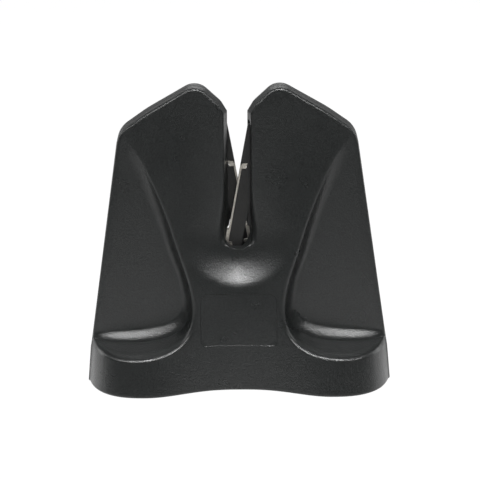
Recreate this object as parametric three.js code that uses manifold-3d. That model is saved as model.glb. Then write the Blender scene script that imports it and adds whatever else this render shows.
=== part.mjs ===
// Tabletop knife sharpener with two crossing, sprung arms in a moulded two-shell housing.
// Millimetres. +X to the right, +Y to the rear, +Z up; the origin is on the table under the middle.
import * as THREE from "three";
import Module from "manifold-3d";

const wasm = await Module();
wasm.setup();

// Clearances and cuts
const overrun = 1;
const seatGap = 0.3;
const turningGap = 0.1;

// Housing, as a whole
const baseWidth = 140;
const lobeDepth = 72;
const waistDepth = 51.6;
const lobeSpread = 43;
const shellFoot = 0.4;
const wall = 2.5;
const partingGap = 0.3;
const rimHeight = 16.5;
const rimJog = 2;
const baseLean = THREE.MathUtils.degToRad(4.9);

// Towers
const apexX = 18.3;
const apexZ = 139.5;
const apexRadius = 8;
const browX = 41;
const browZ = 126.2;
const browRadius = 60;
const shoulderX = 54.1;
const shoulderZ = 117;
const shoulderRadius = 12;
const sideDraft = THREE.MathUtils.degToRad(8.2);
const faceDraft = THREE.MathUtils.degToRad(8.5);
const edgeRadius = 1.5;

// Blade slot
const slotHalf = 6;
const slotHalfInside = 4.6;
const slotHalfFoot = 2;
const slotFloor = 64.5;
const slotFloorRadius = 5;
const notchZ = 128;
const notchRadius = 5;
const mouthRadius = 4.5;
const mouthSpread = 12;

// Depths of the grip wall and of the scoop under the slot, each half of the housing
const gripWallDepth = 11.8;
const chuteDepth = 12.3;
const innerDraft = THREE.MathUtils.degToRad(2.4);
const scoopHalf = 25.4;
const scoopTop = 75;
const scoopBottom = 48.3;
const scoopFlare = THREE.MathUtils.degToRad(9.4);
const scoopFlareRun = 12;
const lobeFade = 110;
const endBlend = 3;
const endBlendTop = 50;
const columnWall = 3.75;

// Arms
const pivotZ = 45;
const crossingZ = 94;
const armTilt = THREE.MathUtils.degToRad(10.4);
const armSwing = THREE.MathUtils.degToRad(8);
const armWidth = 7.9;
const armHeadroom = 7.3;
const armThickness = 4;
const armSpacing = 0.8;
const armSideGap = 0.45;
const armTailLength = 22;
const armTailWidth = 5.4;
const armBossRadius = 5.4;
const armTip = 1.5;

// Honing strips
const stripThickness = 0.75;
const stripWidth = 3.2;
const stripLow = 18.5;
const stripHigh = 56.5;
const stripLug = 2.3;
const stripHook = 1.6;
const stripHeel = 7.2;
const stripHeelProud = 0.4;

// Pins and bosses
const pinRadius = 2;
const pinLength = 24;
const bossRadius = 4;

// Springs
const springRadius = 1.9;
const springWire = 0.7;
const springPitch = 1.2;
const springTurns = 11;
const springPlane = 7.3;
const pegRadius = 1.2;
const pegAbovePivot = -20;

// Stops
const stopAbovePivot = -12.5;
const stopRadius = 2.9;
const stopPinRadius = 1.3;

// Housing screws
const screwShankRadius = 1.45;
const screwHeadRadius = 2.8;
const screwHeadHeight = 2;
const screwLength = 11;
const screwSeatDepth = 4;
const screwBossRadius = 4;
const upperScrewX = 30;
const upperScrewZ = 108;
const lowerScrewX = 47;
const lowerScrewZ = 38;

// Base plate, its screws and its feet
const plateThickness = 2.4;
const plateScrewX = 26;
const plateScrewY = 16.5;
const plateScrewLength = 10;
const plateScrewHead = 1.3;
const footEndInset = 22;
const footSideInset = 17;
const footRadius = 7;
const footSeat = 1.5;
const footEdge = 0.6;

// Powers of the curves in the housing's depth
const fadePower = 1.5;
const swellPower = 1.3;
const endPower = 2.5;
const scoopPower = 1.5;
const filletPower = 2.4;

// Steps of the surfaces
const rowStep = 10;
const arcSteps = 5;
const planSteps = 24;
const roundSteps = 16;
const curlSteps = 8;
const curlSides = 5;

const materials = {
  housing: new THREE.MeshStandardMaterial({ color: 0x2a2b2b, roughness: 0.55, metalness: 0 }),
  plate: new THREE.MeshStandardMaterial({ color: 0x1d1e1e, roughness: 0.7, metalness: 0 }),
  arm: new THREE.MeshStandardMaterial({ color: 0x1a1a1a, roughness: 0.5, metalness: 0 }),
  honing: new THREE.MeshStandardMaterial({ color: 0xa8a8a2, roughness: 0.35, metalness: 1 }),
  steel: new THREE.MeshStandardMaterial({ color: 0xb4b5b6, roughness: 0.3, metalness: 1 }),
  rubber: new THREE.MeshStandardMaterial({ color: 0x161616, roughness: 0.9, metalness: 0 }),
};

const { clamp, lerp, smoothstep } = THREE.MathUtils;
const baseHalf = baseWidth / 2;
const waistHalf = waistDepth / 2;
const lobeRise = (lobeDepth - waistDepth) / 2;
const backFace = -partingGap / 2;
const plateTop = shellFoot + plateThickness;
const armFront = -armSpacing / 2 - armThickness;
const armBack = -armSpacing / 2;
const pivotX = armWidth / 2 / Math.cos(armTilt) - (crossingZ - pivotZ) * Math.tan(armTilt);
const armLength = (notchZ - armHeadroom - pivotZ) / Math.cos(armTilt);
const stripInner = stripThickness - armWidth / 2;
const footHeight = shellFoot + footSeat - seatGap;

// Solids: a list of corner points and a list of triangles over them

/** Turns corners and triangles into a solid that can be joined and cut, with its faces outwards. */
function solidFrom(points, triangles) {
  let volume = 0;
  for (const [a, b, c] of triangles) {
    const [p, q, r] = [points[a], points[b], points[c]];
    volume += p.dot(q.clone().cross(r));
  }
  const faces = volume < 0 ? triangles.map(([a, b, c]) => [a, c, b]) : triangles;
  const vertProperties = new Float32Array(points.flatMap((p) => [p.x, p.y, p.z]));
  const triVerts = new Uint32Array(faces.flat());
  return new wasm.Manifold(new wasm.Mesh({ numProp: 3, vertProperties, triVerts })).asOriginal();
}

/** Joins vertices that lie in the same place, and drops the triangles that this closes up. */
function weld(points, triangles) {
  const grain = 1e4;
  const known = new Map();
  const kept = [];
  const renumbered = points.map((p) => {
    const key = [p.x, p.y, p.z].map((v) => Math.round(v * grain)).join();
    if (!known.has(key)) {
      known.set(key, kept.length);
      kept.push(p);
    }
    return known.get(key);
  });
  const faces = triangles
    .map((face) => face.map((corner) => renumbered[corner]))
    .filter(([a, b, c]) => a !== b && b !== c && c !== a);
  return { points: kept, triangles: faces };
}

/** Reads the corners and triangles of a geometry from three, whatever attributes it has. */
function solidOf(geometry) {
  const place = geometry.attributes.position;
  const points = [];
  for (let i = 0; i < place.count; i++) points.push(new THREE.Vector3().fromBufferAttribute(place, i));
  const order = geometry.index ? Array.from(geometry.index.array) : points.map((_, i) => i);
  const triangles = [];
  for (let i = 0; i < order.length; i += 3) triangles.push(order.slice(i, i + 3));
  const merged = weld(points, triangles);
  return solidFrom(merged.points, merged.triangles);
}

/** Turns a finished solid back into a geometry for a mesh. */
function geometryOf(solid) {
  const mesh = solid.getMesh();
  const geometry = new THREE.BufferGeometry();
  geometry.setAttribute("position", new THREE.BufferAttribute(mesh.vertProperties, mesh.numProp));
  geometry.setIndex(new THREE.BufferAttribute(mesh.triVerts, 1));
  geometry.computeVertexNormals();
  return geometry;
}

/** A closed solid through rings of as many points each, with flat or nearly flat ends. */
function loft(rings) {
  const count = rings[0].length;
  const triangles = [];
  for (let i = 0; i + 1 < rings.length; i++) {
    for (let j = 0; j < count; j++) {
      const next = (j + 1) % count;
      const [a, b, c, d] = [i * count + j, i * count + next, (i + 1) * count + next, (i + 1) * count + j];
      triangles.push([a, b, c], [a, c, d]);
    }
  }
  const last = (rings.length - 1) * count;
  for (let j = 1; j + 1 < count; j++) triangles.push([0, j + 1, j], [last, last + j, last + j + 1]);
  const welded = weld(rings.flat(), triangles);
  return solidFrom(welded.points, welded.triangles);
}

/** An outline in X and Z carried along Y. */
function alongY(outline, from, to) {
  const shape = new THREE.Shape(outline.map(([x, z]) => new THREE.Vector2(x, z)));
  const body = new THREE.ExtrudeGeometry(shape, { depth: to - from, bevelEnabled: false });
  body.rotateX(Math.PI / 2);
  body.translate(0, to, 0);
  return solidOf(body);
}

/** A round bar along Y. */
function barY(x, z, radius, from, to, steps = roundSteps) {
  const bar = new THREE.CylinderGeometry(radius, radius, Math.abs(to - from), steps);
  bar.translate(x, (from + to) / 2, 0);
  return solidOf(bar).translate([0, 0, z]);
}

/** A round bar along Z. */
function barZ(x, y, radius, from, to, steps = roundSteps) {
  const bar = new THREE.CylinderGeometry(radius, radius, Math.abs(to - from), steps);
  bar.rotateX(Math.PI / 2);
  return solidOf(bar).translate([x, y, (from + to) / 2]);
}

// Outline of the towers, seen from the front, right half

/** Half width of the housing at a height: the base leans in little, the fins above the rim more. */
function sideHalf(z) {
  const base = baseHalf - (z - shellFoot) * Math.tan(baseLean);
  const fin = shoulderX + (shoulderZ - z) * Math.tan(sideDraft);
  return lerp(base, fin, clamp((z - rimHeight) / rimJog, 0, 1));
}

/** Points along a path of straight runs with rounded corners, [x, z, radius] each; the steps are for a
 *  right angle. */
function roundedPath(corners, steps) {
  const points = [];
  corners.forEach(([x, z, radius], i) => {
    const here = new THREE.Vector2(x, z);
    if (!radius || i === 0 || i === corners.length - 1) {
      points.push(here);
      return;
    }
    const before = new THREE.Vector2(...corners[i - 1]).sub(here).normalize();
    const after = new THREE.Vector2(...corners[i + 1]).sub(here).normalize();
    const halfAngle = Math.acos(before.dot(after)) / 2;
    const centre = before.clone().add(after).setLength(radius / Math.sin(halfAngle)).add(here);
    const start = before.clone().multiplyScalar(radius / Math.tan(halfAngle)).add(here).sub(centre);
    const end = after.clone().multiplyScalar(radius / Math.tan(halfAngle)).add(here).sub(centre);
    const sweep = Math.atan2(start.cross(end), start.dot(end));
    const count = Math.max(1, Math.round((steps * Math.abs(sweep)) / (Math.PI / 2)));
    for (let k = 0; k <= count; k++) {
      points.push(start.clone().rotateAround(new THREE.Vector2(), (sweep * k) / count).add(centre));
    }
  });
  return points;
}

/** Adds points to a path so that no straight run is longer than a step. */
function subdivide(path, step) {
  const points = [path[0]];
  for (let i = 1; i < path.length; i++) {
    const parts = Math.max(1, Math.round(path[i - 1].distanceTo(path[i]) / step));
    for (let k = 1; k <= parts; k++) points.push(path[i - 1].clone().lerp(path[i], k / parts));
  }
  return points;
}

const towerCorners = [
  [0, slotFloor, 0],
  [slotHalf, slotFloor, slotFloorRadius],
  [slotHalf, notchZ, notchRadius],
  [apexX, apexZ, apexRadius],
  [browX, browZ, browRadius],
  [shoulderX, shoulderZ, shoulderRadius],
  [sideHalf(shoulderZ - 2 * shoulderRadius), shoulderZ - 2 * shoulderRadius, 0],
];
const towerPath = roundedPath(towerCorners, arcSteps).slice(0, -1);
const shoulderEnd = towerPath[towerPath.length - 1];

// Edge of the finger grip: where its rim and rib meet the envelope, and where its flat wall begins.
// Places are shares of the half width of the base and of the height of the shoulder.
const rimShares = [
  [0.967, 0.188], [0.9, 0.176], [0.786, 0.153], [0.629, 0.156], [0.471, 0.175], [0.36, 0.216],
  [0.304, 0.291], [0.314, 0.397], [0.379, 0.53], [0.469, 0.697], [0.583, 0.859], [0.68, 0.947],
];
const wallFootShares = [
  [0.959, 0.222], [0.886, 0.219], [0.779, 0.221], [0.643, 0.231], [0.529, 0.25], [0.454, 0.286],
  [0.423, 0.342], [0.443, 0.423], [0.511, 0.547], [0.6, 0.705], [0.686, 0.859], [0.746, 0.927],
];
const [rimCurve, wallCurve] = [rimShares, wallFootShares].map((shares) => {
  const points = shares.map(([x, z]) => new THREE.Vector2(x * baseHalf, z * shoulderZ));
  return new THREE.SplineCurve([...points, shoulderEnd]);
});

// Depth of the front face behind each point of the front view, from the parting plane

/** How far the base stands out from its middle: a smooth swell to the lobe, then a rounded end, which
 *  runs into the depth of the grip's wall, softly near the foot. */
function envelopeDepth(x, z) {
  const out = clamp(Math.abs(x) / sideHalf(z), 0, 1) * baseHalf;
  const middle = waistHalf - z * Math.tan(faceDraft);
  const rise = lobeRise * Math.pow(clamp(1 - z / lobeFade, 0, 1), fadePower);
  let depth = middle + rise;
  if (out < lobeSpread) {
    const swell = Math.sin((Math.PI / 2) * Math.pow(out / lobeSpread, swellPower));
    depth = middle + rise * swell * swell;
  } else {
    const beyond = (out - lobeSpread) / (baseHalf - lobeSpread);
    depth *= Math.pow(1 - Math.pow(beyond, endPower), 1 / endPower);
  }
  const inner = wallDepth(z);
  const soft = endBlend * (1 - smoothstep(z, rimHeight + rimJog, endBlendTop));
  return (depth + inner + Math.hypot(depth - inner, soft)) / 2;
}

/** Depth of the flat wall of the finger grip. */
function wallDepth(z) {
  return gripWallDepth - z * Math.tan(innerDraft);
}

/** Depth of the face with the scoop: from the slot it opens like a bowl until it meets the envelope. */
function faceDepth(x, z) {
  const out = Math.abs(x);
  const envelope = envelopeDepth(x, z);
  const chute = chuteDepth - z * Math.tan(innerDraft);
  let share = 0;
  if (z > scoopTop) {
    const above = z - scoopTop;
    const edge = scoopHalf + (above * above * Math.tan(scoopFlare)) / (above + scoopFlareRun);
    share = (out - slotHalf) / (edge - slotHalf);
  } else {
    const down = scoopTop - z;
    const reach = Math.max(Math.hypot(out, down), seatGap);
    const inner = 1 / Math.hypot(out / reach / slotHalf, down / reach / (scoopTop - slotFloor));
    const outer = 1 / Math.hypot(out / reach / scoopHalf, down / reach / (scoopTop - scoopBottom));
    share = (reach - inner) / (outer - inner);
  }
  return lerp(Math.min(chute, envelope), envelope, Math.pow(clamp(share, 0, 1), scoopPower));
}

/** Radius of the edge along the slot and the tower tops: it opens out beside the foot of the slot. */
function slotEdgeRadius(x, z) {
  const near = Math.exp(-Math.pow((z - slotFloor - slotFloorRadius) / mouthSpread, 2));
  const out = Math.abs(x);
  const beside = smoothstep(out, 0, slotHalf) * (1 - smoothstep(out, slotHalf, slotHalf + wall));
  return edgeRadius + (mouthRadius - edgeRadius) * near * beside;
}

/** How far an edge of a radius drops at a distance from it, as a quarter round. */
function roundOff(radius, distance) {
  const inside = clamp(radius - distance, 0, radius);
  return radius - Math.sqrt(radius * radius - inside * inside);
}

// Rows of the moulded face: each runs from the far outline, over the grip's edge, to the side outline

const cornerShare = 5 / 12;
const waistShare = 6 / 12;
const slotShare = 7.3 / 12;
const bottomSteps = 14;
const middleSteps = 9;

/** One row for each point of the outline: its far end, its place along the grip's edge, its edge radius. */
function moulding() {
  const rows = [];
  for (let k = 0; k < bottomSteps; k++) {
    const share = k / bottomSteps;
    const x = sideHalf(shellFoot) * Math.sin((Math.PI / 2) * (1 - share));
    rows.push({ far: new THREE.Vector2(x, shellFoot), along: share * cornerShare, edge: 0 });
  }
  for (let k = 0; k < middleSteps; k++) {
    const share = k / middleSteps;
    const z = lerp(shellFoot, slotFloor, Math.sin((Math.PI / 2) * share));
    rows.push({ far: new THREE.Vector2(0, z), along: lerp(cornerShare, slotShare, share), edge: 0 });
  }
  const tower = subdivide(towerPath, rowStep);
  const lengths = tower.map((p, i) => (i ? p.distanceTo(tower[i - 1]) : 0));
  const total = lengths.reduce((sum, length) => sum + length, 0);
  let run = 0;
  tower.forEach((p, i) => {
    run += lengths[i];
    rows.push({ far: p, along: lerp(slotShare, 1, run / total), edge: slotEdgeRadius(p.x, p.y) });
  });
  return rows;
}

const faceShares = [0, 0.14, 0.32, 0.52, 0.72, 0.88];
const filletShares = [0.12, 0.28, 0.48, 0.72, 1];
const roundShare = 0.3;
const lastShares = [0.95, 0.98];

/** The points of one row, from its far end to the side outline. */
function rowPoints(row, index) {
  const rim = rimCurve.getPoint(row.along);
  const foot = wallCurve.getPoint(row.along);
  const relative = (p) => new THREE.Vector2(p.x / sideHalf(p.y), p.y);
  const start = relative(rim);
  const end = relative(row.far);
  if (index === 0) start.x = 1;
  const length = rim.distanceTo(row.far);
  const edge = Math.min(row.edge, length / 2);
  const stops = faceShares.map((share) => share * (length - edge));
  if (edge > 0) stops.push(length - edge, length - roundShare * edge);
  else stops.push(...lastShares.map((share) => share * length));
  stops.push(length);
  const face = stops.map((stop) => {
    const p = start.clone().lerp(end, length > 0 ? stop / length : 0);
    const [x, z] = [p.x * sideHalf(p.y), p.y];
    const depth = faceDepth(x, z) - (edge > 0 ? roundOff(edge, length - stop) : 0);
    return new THREE.Vector3(x, -depth, z);
  });
  const rimDepth = envelopeDepth(rim.x, rim.y);
  const fillet = filletShares.map((share) => {
    const p = relative(rim.clone().lerp(foot, share));
    if (index === 0) p.x = 1;
    const [x, z] = [p.x * sideHalf(p.y), p.y];
    return gripPoint(x, z, lerp(wallDepth(z), rimDepth, Math.pow(1 - share, filletPower)));
  });
  const sideZ = lerp(foot.y, shoulderEnd.y, row.along);
  const side = new THREE.Vector2(sideHalf(sideZ), sideZ);
  const wallRun = foot.distanceTo(side);
  const rounding = Math.min(edgeRadius, wallRun / 2);
  const flatRun = wallRun - rounding;
  const wallStops = [flatRun / 2, flatRun, wallRun - roundShare * rounding, wallRun];
  const flat = wallStops.map((stop) => {
    const p = relative(foot).lerp(relative(side), wallRun > 0 ? stop / wallRun : 0);
    if (index === 0) p.x = 1;
    const [x, z] = [p.x * sideHalf(p.y), p.y];
    return gripPoint(x, z, wallDepth(z));
  });
  return [...face.reverse(), ...fillet, ...flat];
}

/** A point of the grip, rounded off towards the side outline. */
function gripPoint(x, z, depth) {
  const fromSide = (sideHalf(z) - x) * Math.cos(sideDraft);
  const radius = edgeRadius * smoothstep(z, rimHeight, rimHeight + 2 * rimJog);
  return new THREE.Vector3(x, -depth + roundOff(radius, fromSide), z);
}

/** Where a point of the front edge ends at the parting plane: the slot narrows to it, most at its foot. */
function partingPoint(p) {
  const out = Math.abs(p.x);
  let narrowing = 0;
  if (p.z >= slotFloor) {
    const rise = smoothstep(p.z, slotFloor + 2 * slotFloorRadius, slotFloor + 4 * slotFloorRadius);
    const near = clamp(out / slotHalf, 0, 1) * clamp((apexX - out) / (apexX - slotHalf), 0, 1);
    narrowing = (slotHalf - lerp(slotHalfFoot, slotHalfInside, rise)) * near;
  }
  return new THREE.Vector3(p.x - Math.sign(p.x) * narrowing, backFace, p.z);
}

/** The moulded block of one shell, solid inside. */
function shellBlock() {
  const rows = moulding().map(rowPoints);
  const columns = rows[0].length;
  const right = rows.flat();
  const left = right.map((p) => new THREE.Vector3(-p.x, p.y, p.z));
  const triangles = [];
  for (let i = 0; i + 1 < rows.length; i++) {
    for (let j = 0; j + 1 < columns; j++) {
      const a = i * columns + j;
      const [b, c, d] = [a + 1, a + columns + 1, a + columns];
      triangles.push([a, b, c], [a, c, d]);
      const shift = right.length;
      triangles.push([shift + a, shift + c, shift + b], [shift + a, shift + d, shift + c]);
    }
  }
  const face = weld([...right, ...left], triangles);
  return closeBehind(face);
}

/** Gives a face its edge wall, and the same face laid flat on the parting plane behind it. */
function closeBehind({ points, triangles }) {
  const edges = new Set(triangles.flatMap(([a, b, c]) => [`${a},${b}`, `${b},${c}`, `${c},${a}`]));
  const pairs = [...edges].map((edge) => edge.split(",").map(Number));
  const open = pairs.filter(([p, q]) => !edges.has(`${q},${p}`));
  const shift = points.length;
  const faces = [...triangles, ...triangles.map(([a, b, c]) => [shift + a, shift + c, shift + b])];
  for (const [p, q] of open) faces.push([q, p, shift + p], [q, shift + p, shift + q]);
  const closed = weld([...points, ...points.map(partingPoint)], faces);
  return solidFrom(closed.points, closed.triangles);
}

// Inside of the shells

/** A path moved into the material on its right, its corners kept and their radii following. */
function insetCorners(corners, distance) {
  return corners.map(([x, z, radius], i) => {
    const here = new THREE.Vector2(x, z);
    const normals = [[i - 1, i], [i, i + 1]]
      .filter(([from, to]) => from >= 0 && to < corners.length)
      .map(([from, to]) => [corners[to][0] - corners[from][0], corners[to][1] - corners[from][1]])
      .map(([across, up]) => new THREE.Vector2(up, -across).normalize());
    const [before, after] = [normals[0], normals[normals.length - 1]];
    const shift = before.clone().add(after).multiplyScalar(distance / (1 + before.dot(after)));
    const leftTurn = before.cross(after) > 0;
    const moved = here.add(shift);
    return [moved.x, moved.y, radius && Math.max(radius + (leftTurn ? distance : -distance), 0)];
  });
}

/** The hollow behind the towers and the grips, down through the open bottom; right half. */
function finHollow() {
  const upper = roundedPath(insetCorners(towerCorners, wall), arcSteps);
  upper[0].x = -seatGap;
  upper.pop();
  const top = upper[upper.length - 1];
  const floor = shellFoot - overrun;
  const inner = (z) => sideHalf(z) - wall;
  const lower = [new THREE.Vector2(-seatGap, floor), new THREE.Vector2(inner(rimHeight), floor)];
  lower.push(new THREE.Vector2(inner(rimHeight), rimHeight), new THREE.Vector2(top.x, top.y - seatGap));
  const lengths = lower.map((p, i) => (i ? p.distanceTo(lower[i - 1]) : 0));
  const total = lengths.reduce((sum, length) => sum + length, 0);
  const pointAt = (share) => {
    let rest = share * total;
    let i = 1;
    while (i + 1 < lower.length && rest > lengths[i]) rest -= lengths[i++];
    return lower[i - 1].clone().lerp(lower[i], clamp(rest / lengths[i], 0, 1));
  };
  const ring = (a, b) => [
    new THREE.Vector3(a.x, wall - wallDepth(a.y), a.y),
    new THREE.Vector3(b.x, wall - wallDepth(b.y), b.y),
    new THREE.Vector3(b.x, overrun, b.y),
    new THREE.Vector3(a.x, overrun, a.y),
  ];
  const shares = upper.map((_, i) => i / (upper.length - 1));
  let run = 0;
  for (const length of lengths) {
    run += length;
    const knot = run / total;
    const misses = shares.map((share) => Math.abs(share - knot));
    shares[misses.indexOf(Math.min(...misses))] = knot;
  }
  return loft(upper.map((p, i) => ring(p, pointAt(shares[i]))));
}

/** A point of the front outline in plan, moved inwards; the share runs from one side to the other. */
function insetPlan(share, z, distance) {
  const half = sideHalf(z);
  return new THREE.Vector3(share * (half - distance), distance - envelopeDepth(share * half, z), z);
}

/** Shares from side to side, closer together towards the round ends. */
function planShares(steps) {
  return Array.from({ length: steps + 1 }, (_, i) => Math.sin((Math.PI / 2) * ((2 * i) / steps - 1)));
}

/** The hollow of the base under the ledges, worked out across the whole width. */
function baseHollow() {
  const rings = planShares(planSteps).map((share) => {
    const ends = [shellFoot - overrun, rimHeight - wall / 2].map((z) => insetPlan(share, z, wall));
    return [...ends, ends[1].clone().setY(overrun), ends[0].clone().setY(overrun)];
  });
  return loft(rings);
}

/** The hollow of the middle column, between the base and the scoop. */
function columnHollow() {
  const half = rimCurve.getPoint(waistShare).x - columnWall;
  const [low, high] = [shellFoot, scoopBottom - columnWall];
  const ring = (x) => [
    new THREE.Vector3(x, wall - envelopeDepth(0, low), low),
    new THREE.Vector3(x, wall - envelopeDepth(0, high), high),
    new THREE.Vector3(x, overrun, high),
    new THREE.Vector3(x, overrun, low),
  ];
  return loft([ring(-half), ring(half)]);
}

/** The way that the arms leave through the floor of the slot and swing into one tower. */
function armWindow() {
  const [low, high] = [slotFloor - 2 * wall - pivotZ, armLength + 2 * seatGap];
  const resting = -armWidth / 2 - stripHeelProud - seatGap;
  const swung = armWidth / 2 + seatGap;
  const outline = [
    armPlace(resting, low),
    armPlace(resting, high),
    armPlace(swung, high, armSwing),
    armPlace(swung, low, armSwing),
  ];
  return alongY(outline.map((p) => [p.x, p.y]), armFront - armSideGap, overrun);
}

/** A place in the frame of the front arm, across and along it from its pivot; at rest, or swung further. */
function armPlace(across, along, swing = 0) {
  const tilt = armTilt + swing;
  return new THREE.Vector2(
    pivotX + along * Math.sin(tilt) + across * Math.cos(tilt),
    pivotZ + along * Math.cos(tilt) - across * Math.sin(tilt),
  );
}

const peg = armPlace(0, pegAbovePivot);
const post = new THREE.Vector2(peg.x + springTurns * springPitch + 2 * springRadius, peg.y);
const stop = armPlace(armTailWidth / 2 + seatGap + stopRadius, stopAbovePivot);
const housingScrews = [-1, 1].flatMap((side) => [
  [side * upperScrewX, upperScrewZ],
  [side * lowerScrewX, lowerScrewZ],
]);
const corners = [[-1, -1], [1, -1], [-1, 1], [1, 1]];
const plateScrews = corners.map(([x, y]) => [x * plateScrewX, y * plateScrewY]);
const feet = corners.map(([x, y]) => [x * (baseHalf - footEndInset), y * (lobeDepth / 2 - footSideInset)]);

/** Where a boss starts: half way into the front wall. */
function skin(x, z) {
  return wall / 2 - envelopeDepth(x, z);
}

/** Bosses that both shells carry: for the pins, the spring's post, the stop and the screws. */
function shellBosses() {
  const shoulder = -springPlane - springRadius - springWire;
  const roof = rimHeight;
  const parts = [
    barY(pivotX, pivotZ, bossRadius, skin(pivotX, pivotZ), armFront - seatGap),
    barY(-pivotX, pivotZ, bossRadius, skin(pivotX, pivotZ), seatGap - armSpacing / 2),
    barY(post.x, post.y, 2 * pegRadius, skin(post.x, post.y), shoulder),
    barY(post.x, post.y, pegRadius, shoulder - overrun, springWire + overrun - springPlane),
    barY(stop.x, stop.y, stopRadius, skin(stop.x, stop.y), armFront - seatGap),
    barY(stop.x, stop.y, stopPinRadius, armFront - overrun, armBack - seatGap),
  ];
  for (const [x, y] of plateScrews.filter(([, y]) => y < 0)) {
    parts.push(barZ(x, y, screwBossRadius, plateTop + seatGap, roof));
  }
  for (const [x, z] of housingScrews) {
    parts.push(barY(x, z, screwBossRadius, wall / 2 - wallDepth(z), backFace));
  }
  return wasm.Manifold.union(parts);
}

/** Holes that both shells have: the pins' seats and the base screws' holes. */
function shellHoles() {
  const holes = [-1, 1].map((side) => {
    return barY(side * pivotX, pivotZ, pinRadius + turningGap, -pinLength / 2 - seatGap, overrun);
  });
  for (const [x, y] of plateScrews) {
    holes.push(barZ(x, y, screwShankRadius + turningGap, shellFoot, plateTop + plateScrewLength));
  }
  return wasm.Manifold.union(holes);
}

/** The hollow moulding that both shells start from, as the front one. */
function plainShell() {
  const fin = finHollow();
  const hollow = wasm.Manifold.union([fin, fin.mirror([1, 0, 0]), baseHollow(), columnHollow()]);
  return shellBlock().subtract(hollow).add(shellBosses()).subtract(armWindow().add(shellHoles()));
}

/** The front shell: blind holes for the housing screws, which come from the rear. */
function frontShell() {
  const depth = screwLength - screwSeatDepth + overrun;
  const holes = housingScrews.map(([x, z]) => barY(x, z, screwShankRadius + turningGap, -depth, overrun));
  return plainShell().subtract(wasm.Manifold.union(holes));
}

/** The rear shell, modelled as a front one: through holes, with a well for each screw's head. */
function rearShell() {
  const holes = housingScrews.flatMap(([x, z]) => [
    barY(x, z, screwShankRadius + turningGap, -screwSeatDepth - overrun, overrun),
    barY(x, z, screwHeadRadius + seatGap, -lobeDepth / 2, -screwSeatDepth),
  ]);
  return plainShell().subtract(wasm.Manifold.union(holes));
}

// Base plate, feet and screws

/** The plate that closes the bottom, with seats for the feet and holes for its screws. */
function basePlate() {
  const rings = planShares(planSteps).map((share) => {
    const front = insetPlan(share, plateTop, wall + seatGap);
    const low = front.clone().setZ(shellFoot);
    return [front, low, low.clone().setY(-low.y), front.clone().setY(-front.y)];
  });
  const below = shellFoot - overrun;
  const cuts = feet.map(([x, y]) => barZ(x, y, footRadius + seatGap, below, shellFoot + footSeat));
  for (const [x, y] of plateScrews) {
    cuts.push(barZ(x, y, screwShankRadius + turningGap, below, plateTop + overrun));
    cuts.push(barZ(x, y, screwHeadRadius + seatGap, below, shellFoot + plateScrewHead));
  }
  return loft(rings).subtract(wasm.Manifold.union(cuts));
}

/** A turned piece from its profile of radius and height. */
function turned(profile, steps = roundSteps) {
  return solidOf(new THREE.LatheGeometry(profile.map(([r, h]) => new THREE.Vector2(r, h)), steps));
}

/** A rubber foot along Y, standing on its flat underside. */
function footBody() {
  return turned([
    [0, 0],
    [footRadius - footEdge, 0],
    [footRadius, footEdge],
    [footRadius, footHeight],
    [0, footHeight],
  ]);
}

/** A screw along Y: the underside of its head at the origin, its shank on the plus side. */
function screw(length, headHeight) {
  return turned([
    [0, -headHeight],
    [screwHeadRadius - headHeight / 2, -headHeight],
    [screwHeadRadius, -headHeight / 2],
    [screwHeadRadius, 0],
    [screwShankRadius, 0],
    [screwShankRadius, length - screwShankRadius],
    [screwShankRadius / 2, length],
    [0, length],
  ]);
}

// Mechanism of the front side, in the frame of its arm: pivot at the origin, arm upright

/** Outline of an arm: tail, round boss at the pivot, and bar with the seat of its strip cut in. */
function armOutline() {
  const half = armWidth / 2;
  const seat = stripInner + turningGap;
  const lugEnd = stripInner + stripLug;
  const spread = Math.acos(armTailWidth / 2 / armBossRadius);
  const turns = Array.from({ length: arcSteps + 1 }, (_, k) => lerp(-spread, spread, k / arcSteps));
  const boss = turns.map((turn) => [-armBossRadius * Math.cos(turn), armBossRadius * Math.sin(turn)]);
  return [
    [-armTailWidth / 2, -armTailLength],
    ...boss,
    [-half, stripLow - 2 * stripHook],
    [-half, stripLow - turningGap],
    [lugEnd, stripLow - turningGap],
    [lugEnd, stripLow + stripHook],
    [seat, stripLow + stripHook],
    [seat, stripHigh - stripHook],
    [lugEnd, stripHigh - stripHook],
    [lugEnd, stripHigh + turningGap],
    [-half, stripHigh + turningGap],
    [-half, armLength - armTip],
    [armTip - half, armLength],
    [half - 2 * armTip, armLength],
    [half, armLength - 2 * armTip],
    ...boss.map(([x, z]) => [-x, z]).reverse(),
    [armTailWidth / 2, -armTailLength],
  ];
}

/** An arm with its bore and the peg that its spring hooks on. */
function arm() {
  const bar = alongY(armOutline(), armFront, armBack);
  const pegBar = barY(0, pegAbovePivot, pegRadius, -springPlane - springWire - overrun, armFront + overrun);
  const bore = barY(0, 0, pinRadius + turningGap, armFront - overrun, armBack + overrun);
  return bar.add(pegBar).subtract(bore);
}

/** A honing strip: flat along the arm's inner edge, with a lug at the top and a hooked, proud heel. */
function honingStrip() {
  const outer = -armWidth / 2;
  const lugEnd = stripInner + stripLug - seatGap;
  const heelTop = stripLow + stripHeel;
  const outline = [
    [outer - stripHeelProud, stripLow + stripThickness],
    [outer, stripLow],
    [lugEnd, stripLow],
    [lugEnd, stripLow + stripThickness],
    [stripInner, stripLow + stripThickness],
    [stripInner, stripHigh - stripThickness],
    [lugEnd, stripHigh - stripThickness],
    [lugEnd, stripHigh],
    [outer, stripHigh],
    [outer, heelTop],
    [outer - stripHeelProud, heelTop],
  ];
  const middle = (armFront + armBack) / 2;
  return alongY(outline, middle - stripWidth / 2, middle + stripWidth / 2);
}

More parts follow.
